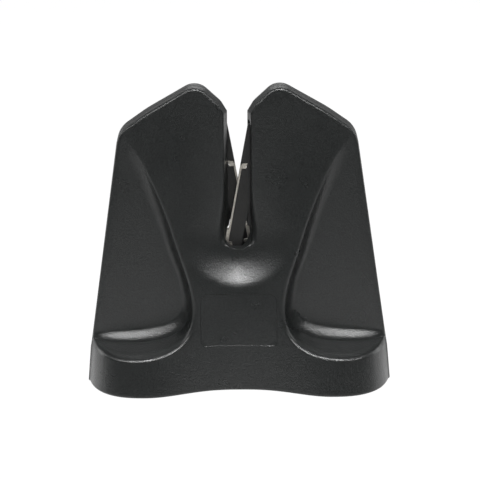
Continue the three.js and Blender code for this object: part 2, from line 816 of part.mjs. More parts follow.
/** A steel pivot pin along Y, with chamfered ends. */
function pivotPin() {
  const chamfer = pinRadius / 4;
  const half = pinLength / 2;
  return turned([
    [0, -half],
    [pinRadius - chamfer, -half],
    [pinRadius, chamfer - half],
    [pinRadius, half - chamfer],
    [pinRadius - chamfer, half],
    [0, half],
  ]);
}

/** A rubber ring along Y, pushed on the pin of its stop. */
function stopRing() {
  const ring = barY(0, 0, stopRadius, armFront, armBack - seatGap);
  return ring.subtract(barY(0, 0, stopPinRadius + turningGap, armFront - overrun, armBack + overrun));
}

const eyeTurn = 1.5 * Math.PI;

/** Centre line of an extension spring along X: eye round the peg, lead, curls, lead, eye round the post. */
class SpringLine extends THREE.Curve {
  constructor() {
    super();
    this.coil = springTurns * springPitch;
    const eye = eyeTurn * springRadius;
    const curls = Math.hypot(springTurns * 2 * Math.PI * springRadius, this.coil);
    this.runs = [eye, springRadius, curls, springRadius, eye];
    this.total = this.runs.reduce((sum, run) => sum + run, 0);
  }

  getPoint(share, target = new THREE.Vector3()) {
    let rest = share * this.total;
    let piece = 0;
    while (piece < this.runs.length - 1 && rest > this.runs[piece]) rest -= this.runs[piece++];
    const part = clamp(rest / this.runs[piece], 0, 1);
    if (piece === 0) return this.eye(target, 0, 1 - part);
    if (piece === 1) return target.set(part * springRadius, 0, springRadius);
    const end = springRadius + this.coil;
    if (piece === 3) return target.set(end + part * springRadius, 0, springRadius);
    if (piece === 4) return this.eye(target, end + springRadius, part);
    const turn = part * springTurns * 2 * Math.PI;
    const along = springRadius + part * this.coil;
    return target.set(along, springRadius * Math.sin(turn), springRadius * Math.cos(turn));
  }

  /** Three quarters of a circle about an eye's centre; the share counts from the end at the lead. */
  eye(target, centre, share) {
    const way = centre > 0 ? -1 : 1;
    const angle = Math.PI / 2 + way * share * eyeTurn;
    return target.set(centre + springRadius * Math.cos(angle), 0, springRadius * Math.sin(angle));
  }
}

/** A coiled extension spring, one unbroken tube. */
function spring() {
  const line = new SpringLine();
  const sides = Array.from({ length: curlSides }, (_, k) => (2 * Math.PI * k) / curlSides);
  const round = sides.map((turn) => new THREE.Vector2(Math.cos(turn), Math.sin(turn)));
  const section = new THREE.Shape(round.map((p) => p.multiplyScalar(springWire / 2)));
  const steps = Math.round((line.total / (2 * Math.PI * springRadius)) * curlSteps);
  return solidOf(new THREE.ExtrudeGeometry(section, { steps, extrudePath: line, bevelEnabled: false }));
}

/** Least gap of the spring's tube to itself, measured between points more than half a turn apart. */
function leastSpringGap() {
  const line = new SpringLine();
  const count = springTurns * 4 * curlSteps;
  const points = line.getSpacedPoints(count);
  const skip = Math.ceil((count * Math.PI * springRadius) / line.total);
  let least = Infinity;
  for (let i = 0; i < points.length; i++) {
    for (let j = i + skip; j < points.length; j++) least = Math.min(least, points[i].distanceTo(points[j]));
  }
  return least - springWire;
}

// Scene graph

/** Adds a named mesh of a solid or of a geometry to a group. */
function piece(parent, name, body, material, position = [0, 0, 0], rotation = [0, 0, 0]) {
  const mesh = new THREE.Mesh(body.isBufferGeometry ? body : geometryOf(body), material);
  mesh.name = name;
  mesh.position.set(...position);
  mesh.rotation.set(...rotation);
  parent.add(mesh);
}

const sharpener = new THREE.Group();
const shared = {
  arm: geometryOf(arm()),
  strip: geometryOf(honingStrip()),
  spring: geometryOf(spring()),
  ring: geometryOf(stopRing()),
  pin: geometryOf(pivotPin()),
  foot: geometryOf(footBody()),
  housingScrew: geometryOf(screw(screwLength, screwHeadHeight)),
  plateScrew: geometryOf(screw(plateScrewLength, plateScrewHead - turningGap)),
};

for (const [side, turn] of [["front", 0], ["rear", Math.PI]]) {
  const half = new THREE.Group();
  half.rotation.z = turn;
  sharpener.add(half);
  const pin = side === "front" ? "left_pivot_pin" : "right_pivot_pin";
  piece(half, `${side}_shell`, side === "front" ? frontShell() : rearShell(), materials.housing);
  piece(half, pin, shared.pin, materials.steel, [pivotX, 0, pivotZ]);
  piece(half, `${side}_spring`, shared.spring, materials.steel, [peg.x, -springPlane, peg.y]);
  piece(half, `${side}_stop_bumper`, shared.ring, materials.rubber, [stop.x, 0, stop.y]);
  const swinging = new THREE.Group();
  swinging.position.set(pivotX, 0, pivotZ);
  swinging.rotation.y = armTilt;
  half.add(swinging);
  piece(swinging, `${side}_arm`, shared.arm, materials.arm);
  piece(swinging, `${side}_honing_strip`, shared.strip, materials.honing);
}

piece(sharpener, "base_plate", basePlate(), materials.plate);
const fromRear = [0, 0, Math.PI];
const upright = [Math.PI / 2, 0, 0];
const plateScrewZ = shellFoot + plateScrewHead - turningGap;
housingScrews.forEach(([x, z], i) => {
  const place = [x, screwSeatDepth, z];
  piece(sharpener, `housing_screw_${i + 1}`, shared.housingScrew, materials.steel, place, fromRear);
});
plateScrews.forEach(([x, y], i) => {
  const place = [x, y, plateScrewZ];
  piece(sharpener, `base_screw_${i + 1}`, shared.plateScrew, materials.steel, place, upright);
});
feet.forEach(([x, y], i) => {
  piece(sharpener, `foot_${i + 1}`, shared.foot, materials.rubber, [x, y, 0], upright);
});

console.log(`least gap of a spring to itself: ${leastSpringGap().toFixed(2)} mm`);

export default sharpener;
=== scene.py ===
# %% [markdown]
# A tabletop knife sharpener: two moulded half shells hold a pair of crossing arms, and a blade drawn
# through the slot between the towers spreads the arms against their springs. It could be drawn by eye
# from a photograph, but an engineering model is at hand, so that is loaded first as a fixed frame, and
# every visible piece is put where the real one sits.

# %% Load the fixed frame
import math

import bmesh
import bpy
import numpy as np
from mathutils import Matrix, Vector


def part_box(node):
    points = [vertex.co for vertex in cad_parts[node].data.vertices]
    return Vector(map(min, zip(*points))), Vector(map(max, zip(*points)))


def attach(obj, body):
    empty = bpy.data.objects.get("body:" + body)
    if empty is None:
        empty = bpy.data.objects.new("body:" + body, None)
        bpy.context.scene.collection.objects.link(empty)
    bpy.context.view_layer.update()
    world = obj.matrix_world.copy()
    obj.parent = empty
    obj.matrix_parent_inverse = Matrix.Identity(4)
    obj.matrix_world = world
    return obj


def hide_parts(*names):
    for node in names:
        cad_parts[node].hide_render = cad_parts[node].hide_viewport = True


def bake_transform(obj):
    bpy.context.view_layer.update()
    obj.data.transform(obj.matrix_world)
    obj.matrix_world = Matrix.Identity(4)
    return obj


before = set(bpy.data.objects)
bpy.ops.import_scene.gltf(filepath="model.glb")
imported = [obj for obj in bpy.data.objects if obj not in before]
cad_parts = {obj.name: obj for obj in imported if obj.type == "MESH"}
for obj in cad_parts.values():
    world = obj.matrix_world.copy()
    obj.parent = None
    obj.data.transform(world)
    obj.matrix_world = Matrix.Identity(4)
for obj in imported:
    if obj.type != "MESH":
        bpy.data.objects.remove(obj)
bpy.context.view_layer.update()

# %% [markdown]
# The camera comes next, because every later look depends on it. The product was taken from the front and
# a little above with a long lens, so its upright sides hardly converge. The view could be found by moving
# the camera about by hand, but as numbers the tilt, the roll and the lens can each be corrected alone. The
# lens is set by its focal length in pixels of the square picture, and a small shift keeps the object where
# it stands in the frame.

# %% Camera
MM = 0.001
FRAME_PX, FOCAL_PX, AXIS_PX = 480, 2166, (238.2, 245.3)
SENSOR_WIDTH, TARGET_HEIGHT, DISTANCE = 36, 62, 1000
ELEVATION, ROLL = math.radians(17), math.radians(-0.45)

scene = bpy.context.scene
camera_data = bpy.data.cameras.new("camera")
camera_data.sensor_width = SENSOR_WIDTH
camera_data.lens = FOCAL_PX / FRAME_PX * SENSOR_WIDTH
camera_data.shift_x = 0.5 - AXIS_PX[0] / FRAME_PX
camera_data.shift_y = AXIS_PX[1] / FRAME_PX - 0.5
camera = bpy.data.objects.new("camera", camera_data)
scene.collection.objects.link(camera)
camera.location = (
    0,
    -DISTANCE * math.cos(ELEVATION) * MM,
    (TARGET_HEIGHT + DISTANCE * math.sin(ELEVATION)) * MM,
)
tilt = Matrix.Rotation(math.pi / 2 - ELEVATION, 3, "X") @ Matrix.Rotation(ROLL, 3, "Z")
camera.rotation_euler = tilt.to_euler()
scene.camera = camera
print("camera at", [round(v, 4) for v in camera.location], "lens", round(camera_data.lens, 1), "mm")

# %% [markdown]
# Materials and the surround are trees of shader nodes. They could be joined by hand in Blender's editor;
# two small helpers, one that adds a node and joins its inputs and one that takes a value from one range to
# another, keep each tree as short as a formula.

# %% Helpers for node trees
WHITE = (1, 1, 1, 1)


def node_tree(owner):
    """Empties a material's or world's node tree and gives a helper that adds nodes and joins them."""
    owner.use_nodes = True
    tree = owner.node_tree
    tree.nodes.clear()

    def add(kind, inputs=None, **settings):
        node = tree.nodes.new(kind)
        for key, value in settings.items():
            setattr(node, key, value)
        for key, value in (inputs or {}).items():
            if isinstance(value, bpy.types.NodeSocket):
                tree.links.new(value, node.inputs[key])
            else:
                node.inputs[key].default_value = value
        return node

    return add


def map_range(add, value, old, new, interpolation="LINEAR"):
    """Output of a Map Range node that takes the range old, as (low, high), to the range new."""
    inputs = {"Value": value, "From Min": old[0], "From Max": old[1], "To Min": new[0], "To Max": new[1]}
    return add("ShaderNodeMapRange", inputs, interpolation_type=interpolation).outputs["Result"]


print("helpers for node trees are ready")

# %% [markdown]
# The product stands in a white studio. A closed white box would light it from all sides and wash out the
# dark plastic, so the surround has three strengths: white where the camera sees it, a plain grey sky that
# lights the object, and a dim backdrop and ceiling that only reflections see.

# %% White surround
SKY_LIGHT, BACKDROP, DARK_SIDE, CEILING = 0.3, 0.25, 0.05, 0.1
BACKDROP_EDGE, CEILING_EDGE = (0.35, 0.95), (0.2, 0.8)

world = bpy.data.worlds.new("studio")
scene.world = world
add = node_tree(world)
rays = add("ShaderNodeLightPath").outputs
mirrored = add("ShaderNodeMath", {0: rays["Is Glossy Ray"], 1: rays["Is Transmission Ray"]},
               operation="MAXIMUM")
way = add("ShaderNodeSeparateXYZ", {"Vector": add("ShaderNodeTexCoord").outputs["Generated"]}).outputs
behind = map_range(add, way["Y"], BACKDROP_EDGE, (DARK_SIDE, BACKDROP), "SMOOTHSTEP")
above = map_range(add, way["Z"], CEILING_EDGE, (0.0, CEILING), "SMOOTHSTEP")
around = add("ShaderNodeMath", {0: behind, 1: above}, operation="MAXIMUM").outputs[0]
lit = add("ShaderNodeBackground", {"Color": WHITE, "Strength": SKY_LIGHT}).outputs[0]
reflected = add("ShaderNodeBackground", {"Color": WHITE, "Strength": around}).outputs[0]
shown = add("ShaderNodeBackground", {"Color": WHITE, "Strength": 1.0}).outputs[0]
unseen = add("ShaderNodeMixShader", {0: mirrored.outputs[0], 1: lit, 2: reflected}).outputs[0]
mix = add("ShaderNodeMixShader", {0: rays["Is Camera Ray"], 1: unseen, 2: shown})
add("ShaderNodeOutputWorld", {"Surface": mix.outputs[0]})
print("surround: sky", SKY_LIGHT, "backdrop", BACKDROP, "sides", DARK_SIDE, "ceiling", CEILING)

# %% [markdown]
# The floor is white studio paper. A floor that is only lit would turn grey away from the lamps, and one
# that only glows would show no shadow, so for the camera it is nine tenths glow and one tenth matt paper,
# and everything else meets the matt paper alone.

# %% Floor
FLOOR_SIZE, PAPER_GREY, GLOW_SHARE, GLOW = 4.0, 0.7, 0.9, 1.06

half = FLOOR_SIZE / 2
floor_mesh = bpy.data.meshes.new("studio_floor")
floor_corners = [(-half, -half, 0), (half, -half, 0), (half, half, 0), (-half, half, 0)]
floor_mesh.from_pydata(floor_corners, [], [(0, 1, 2, 3)])
floor = bpy.data.objects.new("studio_floor", floor_mesh)
scene.collection.objects.link(floor)
paper = bpy.data.materials.new("studio_paper")
add = node_tree(paper)
rays = add("ShaderNodeLightPath").outputs
seen = add("ShaderNodeMath", {0: rays["Is Camera Ray"], 1: GLOW_SHARE}, operation="MULTIPLY")
matt = add("ShaderNodeBsdfDiffuse", {"Color": (PAPER_GREY, PAPER_GREY, PAPER_GREY, 1)})
glow = add("ShaderNodeEmission", {"Color": WHITE, "Strength": GLOW})
mix = add("ShaderNodeMixShader", {0: seen.outputs[0], 1: matt.outputs[0], 2: glow.outputs[0]})
add("ShaderNodeOutputMaterial", {"Surface": mix.outputs[0]})
floor_mesh.materials.append(paper)
print("floor of", FLOOR_SIZE, "m, paper", PAPER_GREY)

# %% [markdown]
# Soft lamps draw the light lines along the rims and the highlight in the scoop. One large lamp overhead
# could do it, but its light would also fall on the floor in front, so the top light is three narrow strips
# in an arc, each with a grid that keeps its light together. One lamp stands behind and one on each side.

# %% Lamps
LAMP_TARGET = (0, 0, 0.06)
TOP_SIZE, TOP_FORWARD, TOP_SPREAD = (0.52, 0.11), -0.52, 50
TOP_LAMPS = (("left", 0.36, -0.5, 0.8), ("middle", 1.15, 0.0, 0.92), ("right", 0.36, 0.5, 0.8))
OPEN_LAMPS = (("rear_softbox", 3.0, (0.9, 0.3), (0.0, 1.1, 0.75)),
              ("left_softbox", 4.8, (0.25, 0.9), (-1.0, 0.3, 0.35)),
              ("right_softbox", 4.8, (0.25, 0.9), (1.0, 0.3, 0.35)))


def soft_lamp(name, power, size, place, spread=180):
    """A lamp of a power in watts and a size in metres, at a place and turned to face the object. The
    spread in degrees is the widest cone that its grid lets through."""
    data = bpy.data.lights.new(name, "AREA")
    data.energy = power
    data.shape = "RECTANGLE"
    data.size, data.size_y = size
    data.spread = math.radians(spread)
    lamp = bpy.data.objects.new(name, data)
    scene.collection.objects.link(lamp)
    lamp.location = place
    lamp.rotation_euler = (Vector(LAMP_TARGET) - Vector(place)).to_track_quat("-Z", "Y").to_euler()


for name, power, across, height in TOP_LAMPS:
    soft_lamp(f"top_{name}_softbox", power, TOP_SIZE, (across, TOP_FORWARD, height), TOP_SPREAD)
for name, power, size, place in OPEN_LAMPS:
    soft_lamp(name, power, size, place)
scene.view_settings.view_transform = "Standard"

# %% [markdown]
# The real housing is a pair of hollow plastic mouldings. A subdivided cage or a sculpt could look alike,
# but here the outer form is a height field over the front view: for a place across and up, a formula says
# how deep the moulding stands in front of the parting plane. That keeps the long soft flanks even, and
# most of the sizes are the engineering model's own.

# %% Sizes of the housing, in millimetres
BASE_HALF, LOBE_DEPTH, WAIST_DEPTH, LOBE_SPREAD = 70.0, 72.0, 51.6, 43.0
SHELL_FOOT, WALL, PARTING = 0.4, 2.5, 0.15
RIM_HEIGHT, RIM_JOG, BASE_LEAN = 16.5, 2.0, math.radians(4.9)
APEX, APEX_RADIUS = (18.3, 139.5), 8.0
BROW, BROW_RADIUS = (41.0, 126.2), 60.0
SHOULDER, SHOULDER_RADIUS = (54.1, 117.0), 12.0
SIDE_DRAFT, FACE_DRAFT, INNER_DRAFT = map(math.radians, (8.2, 8.5, 2.4))
SLOT_HALF, SLOT_FLOOR, SLOT_FLOOR_RADIUS = 6.0, 63.2, 5.0
NOTCH_Z, NOTCH_RADIUS = 128.0, 5.0
GRIP_WALL, CHUTE = 11.8, 12.3


def smoothstep(v, low, high):
    """Zero below low, one above high, and a smooth cubic between them."""
    t = np.clip((v - low) / (high - low), 0, 1)
    return t * t * (3 - 2 * t)


def lerp(a, b, t):
    """The place a share t of the way from a to b."""
    return a + (b - a) * t


def side_half(z):
    """Half width at a height: the base leans in a little, and the fins above the rim lean in more."""
    base = BASE_HALF - (z - SHELL_FOOT) * math.tan(BASE_LEAN)
    fin = SHOULDER[0] + (SHOULDER[1] - z) * math.tan(SIDE_DRAFT)
    return base + (fin - base) * np.clip((z - RIM_HEIGHT) / RIM_JOG, 0, 1)


def wall_depth(z):
    """Depth of the flat wall of a finger grip: it draws in with height by the mould's draft."""
    return GRIP_WALL - z * math.tan(INNER_DRAFT)


print("half width at the rim", round(float(side_half(RIM_HEIGHT)), 2), "and at the shoulder", SHOULDER[0])

# %% [markdown]
# Seen from above, the base narrows to a waist and swells into two lobes, and its ends are squared ovals.
# Lofting between drawn sections could make it. A sine and a superellipse need only a few sizes, and they
# meet with one slope, so no seam shows in the highlights. Where this form meets the flat grip wall, a
# hyperbola takes the place of a hard maximum and leaves a soft crest.

# %% Depth of the outer form
LOBE_FADE, FADE_POWER, SWELL_POWER, END_POWER = 110.0, 1.5, 1.3, 2.5
CREST_SOFT, LOBE_SOFT, SOFT_HEIGHTS = 0.8, 2.2, (18, 50)


def envelope_depth(x, z):
    """Depth of the outer form: a waist in the middle, a squared sine swell out to the lobe, and beyond it
    a superellipse that closes round the end. The greater of that and the grip's wall is taken softly, as
    half of their sum and the hypotenuse of their difference and a softness that fades with height."""
    out = np.clip(np.abs(x) / side_half(z), 0, 1) * BASE_HALF
    middle = WAIST_DEPTH / 2 - z * math.tan(FACE_DRAFT)
    rise = (LOBE_DEPTH - WAIST_DEPTH) / 2 * np.clip(1 - z / LOBE_FADE, 0, 1) ** FADE_POWER
    swell = np.sin(math.pi / 2 * np.clip(out / LOBE_SPREAD, 0, 1) ** SWELL_POWER) ** 2
    beyond = np.clip((out - LOBE_SPREAD) / (BASE_HALF - LOBE_SPREAD), 0, 1)
    end = (middle + rise) * (1 - beyond**END_POWER) ** (1 / END_POWER)
    depth = np.where(out < LOBE_SPREAD, middle + rise * swell, end)
    inner = wall_depth(z)
    soft = CREST_SOFT + LOBE_SOFT * (1 - smoothstep(z, *SOFT_HEIGHTS))
    return (depth + inner + np.hypot(depth - inner, soft)) / 2


waist, lobe = (round(float(envelope_depth(x, 1.0)), 2) for x in (0.0, LOBE_SPREAD))
print("depth near the table: waist", waist, "lobe", lobe)

# %% [markdown]
# The scoop is the dished funnel that leads a blade into the slot. It could be cut with a boolean, which
# would leave a sharp edge; as part of the same formula it blends into the face, and the light runs
# through it without a break.

# %% Face with the scoop
SCOOP_HALF, SCOOP_TOP, SCOOP_BOTTOM, SCOOP_FLARE = 25.4, 75.0, 48.3, math.radians(9.4)
FLARE_START, LEAST_REACH, SCOOP_SOFT, SCOOP_POWER = 12, 0.3, 0.14, 1.5


def face_depth(x, z):
    """Depth of the face with the scoop: a chute beside the slot that rises to the outer form along a power
    of the share of the way from the slot's edge to the scoop's edge, which is elliptic below the slot. The
    share levels out at one through a hyperbola, so that the scoop's edge is soft."""
    out = np.abs(x)
    envelope = envelope_depth(x, z)
    chute = np.minimum(CHUTE - z * math.tan(INNER_DRAFT), envelope)
    above = np.maximum(z - SCOOP_TOP, 0)
    edge = SCOOP_HALF + above**2 / (above + FLARE_START) * math.tan(SCOOP_FLARE)
    upper = (out - SLOT_HALF) / (edge - SLOT_HALF)
    down = np.maximum(SCOOP_TOP - z, 0)
    reach = np.maximum(np.hypot(out, down), LEAST_REACH)
    inner = 1 / np.hypot(out / reach / SLOT_HALF, down / reach / (SCOOP_TOP - SLOT_FLOOR))
    outer = 1 / np.hypot(out / reach / SCOOP_HALF, down / reach / (SCOOP_TOP - SCOOP_BOTTOM))
    lower = (reach - inner) / (outer - inner)
    share = np.where(z > SCOOP_TOP, upper, lower)
    share = np.maximum((share + 1 - np.hypot(share - 1, SCOOP_SOFT)) / 2, 0)
    return chute + (envelope - chute) * share**SCOOP_POWER


scoop_depth = envelope_depth(0.0, SLOT_FLOOR) - face_depth(0.0, SLOT_FLOOR)
print("the scoop is", round(float(scoop_depth), 2), "mm deep at the slot's foot")

# %% [markdown]
# Seen from the front, the towers and the slot are straight runs with rounded corners. Curve objects could
# hold that outline; a list of corners with their radii says the same in a line each and is ready for
# arrays.

# %% Outline of the towers and the slot
CORNER_STEPS = 12


def rounded_path(corners, steps):
    """Points along straight runs whose corners are arcs: each corner is [x, z, radius]."""
    corners = [np.array(c, float) for c in corners]
    points = [corners[0][:2]]
    for before, here, after in zip(corners, corners[1:], corners[2:]):
        a = (before[:2] - here[:2]) / np.linalg.norm(before[:2] - here[:2])
        b = (after[:2] - here[:2]) / np.linalg.norm(after[:2] - here[:2])
        half_angle = math.acos(a @ b) / 2
        middle = (a + b) / np.linalg.norm(a + b)
        centre = here[:2] + middle * here[2] / math.sin(half_angle)
        start = here[:2] + a * here[2] / math.tan(half_angle) - centre
        end = here[:2] + b * here[2] / math.tan(half_angle) - centre
        sweep = math.atan2(start[0] * end[1] - start[1] * end[0], start @ end)
        turn = np.linspace(0, sweep, steps + 1)[:, None]
        side = np.array([-start[1], start[0]])
        points.extend(centre + start * np.cos(turn) + side * np.sin(turn))
    points.append(corners[-1][:2])
    return np.array(points)


below = SHOULDER[1] - 2 * SHOULDER_RADIUS
tower_corners = [
    (0, SLOT_FLOOR, 0),
    (SLOT_HALF, SLOT_FLOOR, SLOT_FLOOR_RADIUS),
    (SLOT_HALF, NOTCH_Z, NOTCH_RADIUS),
    (*APEX, APEX_RADIUS),
    (*BROW, BROW_RADIUS),
    (*SHOULDER, SHOULDER_RADIUS),
    (side_half(below), below, 0),
]
tower_outline = rounded_path(tower_corners, CORNER_STEPS)[:-1]
shoulder_end = tower_outline[-1]
print("tower outline of", len(tower_outline), "points; shoulder ends at", np.round(shoulder_end, 2))

# %% [markdown]
# Each finger grip is bounded by a rim that sweeps from the lobe's end round its hollow and up to the
# shoulder, and a second line marks the foot of the grip's flat wall. Arcs would show where they meet, so
# both are smooth curves through a dozen places, given as shares of the half width and the shoulder's
# height, and they keep their look when the housing's size changes.

# %% Rim and foot of the finger grip
RIM_SHARES = [(0.967, 0.18), (0.915, 0.166), (0.786, 0.158), (0.629, 0.158), (0.471, 0.175), (0.36, 0.216),
              (0.304, 0.291), (0.314, 0.397), (0.379, 0.53), (0.469, 0.697), (0.583, 0.859), (0.68, 0.947)]
FOOT_SHARES = [(0.959, 0.207), (0.886, 0.209), (0.779, 0.213), (0.643, 0.22), (0.52, 0.233), (0.43, 0.257),
               (0.378, 0.31), (0.4, 0.418), (0.48, 0.545), (0.575, 0.705), (0.686, 0.859), (0.746, 0.927)]


def spline(points, share):
    """A uniform Catmull-Rom curve through points, at shares of its number of spans."""
    points = np.asarray(points, float)
    count = len(points)
    place = np.clip(share, 0, 1) * (count - 1)
    i = np.minimum(place.astype(int), count - 2)
    t = (place - i)[:, None]
    p0 = points[np.maximum(i - 1, 0)]
    p1, p2 = points[i], points[i + 1]
    p3 = points[np.minimum(i + 2, count - 1)]
    return 0.5 * (2 * p1 + (p2 - p0) * t + (2 * p0 - 5 * p1 + 4 * p2 - p3) * t**2
                  + (3 * p1 - p0 - 3 * p2 + p3) * t**3)


front_view = np.array([BASE_HALF, SHOULDER[1]])
rim_points = np.vstack([np.array(RIM_SHARES) * front_view, shoulder_end])
foot_points = np.vstack([np.array(FOOT_SHARES) * front_view, shoulder_end])
print("rim from", np.round(rim_points[0], 1), "to", np.round(rim_points[-1], 1))

# %% [markdown]
# On the moulding, the edge round the towers and the slot is a small quarter round. Blender's Bevel would
# need clean edge loops; here the edge is part of the height field, as a drop that grows with nearness to
# the outline. Beside the foot of the slot it opens out into a soft mouth, and round the very foot it
# tightens into a sharp lip.

# %% Rounded edges of the moulding
EDGE_RADIUS, MOUTH_RADIUS, LIP_RADIUS = 1.4, 5.6, 0.12
MOUTH_SPREAD, MOUTH_BELOW, MOUTH_ABOVE, MOUTH_INSIDE, MOUTH_WIDTH = 14.0, 4, 11, 4, 3 * WALL
LIP_WIDTH, LIP_LOW, LIP_HIGH = 2, 3, 5


def outline_distance(x, z):
    """Least distance in the front view from each place to the outline of the towers and the slot."""
    a, b = tower_outline[:-1], tower_outline[1:]
    run = b - a
    place = np.stack([x, z], -1)[..., None, :]
    t = np.clip(((place - a) * run).sum(-1) / (run**2).sum(-1), 0, 1)
    return np.sqrt((((place - a - t[..., None] * run) ** 2).sum(-1)).min(-1))


def edge_drop(x, z):
    """How far the edge round the towers and the slot has dropped: a quarter round whose radius grows at
    the mouth, as a bell curve of the height, and shrinks at the lip."""
    out = np.abs(x)
    bell = np.exp(-(((z - SLOT_FLOOR - SLOT_FLOOR_RADIUS) / MOUTH_SPREAD) ** 2))
    near = bell * smoothstep(z, SLOT_FLOOR - MOUTH_BELOW, SLOT_FLOOR + MOUTH_ABOVE)
    outward = 1 - smoothstep(out, SLOT_HALF, SLOT_HALF + MOUTH_WIDTH)
    beside = smoothstep(out, MOUTH_INSIDE, SLOT_HALF) * outward
    under = 1 - smoothstep(z, SLOT_FLOOR + LIP_LOW, SLOT_FLOOR + SLOT_FLOOR_RADIUS + LIP_HIGH)
    low = (1 - smoothstep(out, SLOT_HALF, SLOT_HALF + LIP_WIDTH)) * under
    radius = lerp(EDGE_RADIUS, LIP_RADIUS, low) + (MOUTH_RADIUS - EDGE_RADIUS) * near * beside
    inside = np.clip(radius - outline_distance(x, z), 0, radius)
    return radius - np.sqrt(radius**2 - inside**2)


def side_drop(x, z):
    """How far the grip's wall has dropped towards the side of the fin, as a quarter round."""
    radius = np.maximum(EDGE_RADIUS * smoothstep(z, RIM_HEIGHT, RIM_HEIGHT + 2 * RIM_JOG), 1e-9)
    inside = np.clip(radius - (side_half(z) - x) * math.cos(SIDE_DRAFT), 0, radius)
    return radius - np.sqrt(radius**2 - inside**2)


print("drop at the slot's edge, from its foot up:",
      [round(float(edge_drop(np.array(SLOT_HALF), np.array(z))), 1) for z in (70.0, 80.0, 100.0)])

# %% [markdown]
# One half of a shell is a grid of points. A plain front-view grid would cut the grip's crisp rim into
# steps, so the rows run across it instead: each starts on the far outline, which is the bottom edge, the
# middle line or the towers, crosses the face to the rim, drops down the fillet, runs over the flat wall
# and ends on the side.

# %% Where the rows start
CORNER_SHARE, SLOT_SHARE = 5 / 12, 7.3 / 12
BOTTOM_ROWS, MIDDLE_ROWS, TOWER_STEP = 64, 46, 1.4


def resample(points, step):
    """Points of a polyline at its corners and at even distances of about one step, without any that lies
    within a quarter of a step of the one before it, and each point's share of the whole length."""
    gaps = np.linalg.norm(np.diff(points, axis=0), axis=1)
    along = np.concatenate([[0], np.cumsum(gaps)])
    places = np.unique(np.concatenate([along, np.linspace(0, along[-1], int(along[-1] / step) + 1)]))
    places = places[np.concatenate([[True], np.diff(places) > step / 4])]
    return np.stack([np.interp(places, along, points[:, k]) for k in (0, 1)], 1), places / along[-1]


def moulding_rows():
    """Far ends of the rows, their shares along the rim, and the number of the first row of the towers. As
    quarter waves, the rows crowd together at the end of the base and under the slot's floor."""
    share = np.arange(BOTTOM_ROWS) / BOTTOM_ROWS
    bottom_x = side_half(SHELL_FOOT) * np.cos(math.pi / 2 * share)
    bottom = np.stack([bottom_x, np.full(BOTTOM_ROWS, SHELL_FOOT)], 1)
    along = [share * CORNER_SHARE]
    share = np.arange(MIDDLE_ROWS) / MIDDLE_ROWS
    rise = SHELL_FOOT + (SLOT_FLOOR - SHELL_FOOT) * np.sin(math.pi / 2 * share)
    middle = np.stack([np.zeros(MIDDLE_ROWS), rise], 1)
    along.append(CORNER_SHARE + (SLOT_SHARE - CORNER_SHARE) * share)
    tower, share = resample(tower_outline, TOWER_STEP)
    along.append(SLOT_SHARE + (1 - SLOT_SHARE) * share)
    return np.vstack([bottom, middle, tower]), np.concatenate(along), BOTTOM_ROWS + MIDDLE_ROWS


row_ends, _, tower_start = moulding_rows()
print("rows:", len(row_ends), "of them along the towers:", len(row_ends) - tower_start)

# %% [markdown]
# Each row has three stretches. The face crosses the front, the fillet drops from the rim, and the wall is
# the flat back of the grip. Low down, the fillet drops steeply to a faint line and runs out in a gentle
# ledge, and higher up it is an even bowl. One long formula could hold all three; a small function for each
# can be read and changed alone.

# %% The three stretches of a row
FACE_COLUMNS, FACE_CROWD, RIM_ROUND, RIM_SHARE = 42, 1.15, 2.5, 0.3
FILLET_START, FILLET_COLUMNS, FILLET_CROWD, FILLET_POWER = 0.02, 28, 1.6, 2.4
LEDGE_LINE, LEDGE_RISE, LEDGE_POWER, LEDGE_CURVE, LEDGE_END = 0.8, 0.15, 0.8, 1.15, (0.36, 0.62)
RIDGE_HEIGHT, RIDGE_WIDTH, RIDGE_END = 0.1, 0.05, (0.36, 0.44)
WALL_COLUMNS, ROUND_COLUMNS = 9, 7


def relative(p):
    """A place in the front view with its width as a share of the half width at its height."""
    return np.stack([p[..., 0] / side_half(p[..., 1]), p[..., 1]], -1)


def absolute(p):
    """Place across and height from a place whose width is a share of the half width."""
    return p[..., 0] * side_half(p[..., 1]), p[..., 1]


def grip_points(x, z, depth):
    """Points of the grip at a depth, rounded off towards the side of the fin."""
    return np.stack([x, side_drop(x, z) - depth, z], -1)


def face_part(start, end, length):
    """Columns from the rim's rounding to the far outline, closer together towards the outline: the place
    is a power of the sine of the share."""
    s = np.linspace(0, 1, FACE_COLUMNS)[None, :]
    reach = np.minimum(RIM_ROUND / np.maximum(length, 1e-6), RIM_SHARE)
    stops = reach + (1 - reach) * np.sin(math.pi / 2 * s) ** FACE_CROWD
    x, z = absolute(lerp(start[:, None, :], end[:, None, :], stops[..., None]))
    return np.stack([x, edge_drop(x, z) - face_depth(x, z), z], -1)


def fillet_part(start, wall_foot, corner_depth, along):
    """Columns from the rim to the foot of the wall. With q as the share still to go, the bowl is a power
    of q; the ledge rises gently up to a line, where it has a ridge as a bell curve, and steeply beyond it;
    and along the rim the ledge turns into the bowl."""
    shares = np.linspace(FILLET_START, 1, FILLET_COLUMNS)[None, :] ** FILLET_CROWD
    x, z = absolute(lerp(start[:, None, :], wall_foot[:, None, :], shares[..., None]))
    q = 1 - shares
    bowl = q**FILLET_POWER
    step = LEDGE_RISE * smoothstep(q, 0, LEDGE_LINE) ** LEDGE_POWER
    bell = np.exp(-(((q - LEDGE_LINE) / RIDGE_WIDTH) ** 2))
    ridge = RIDGE_HEIGHT * bell * (1 - smoothstep(along, *RIDGE_END))[:, None]
    ledge = step + (1 - LEDGE_RISE) * np.clip((q - LEDGE_LINE) / (1 - LEDGE_LINE), 0, 1) ** LEDGE_CURVE
    rise = lerp(ledge, bowl, smoothstep(along, *LEDGE_END)[:, None])
    return grip_points(x, z, lerp(wall_depth(z), corner_depth, rise) + ridge)


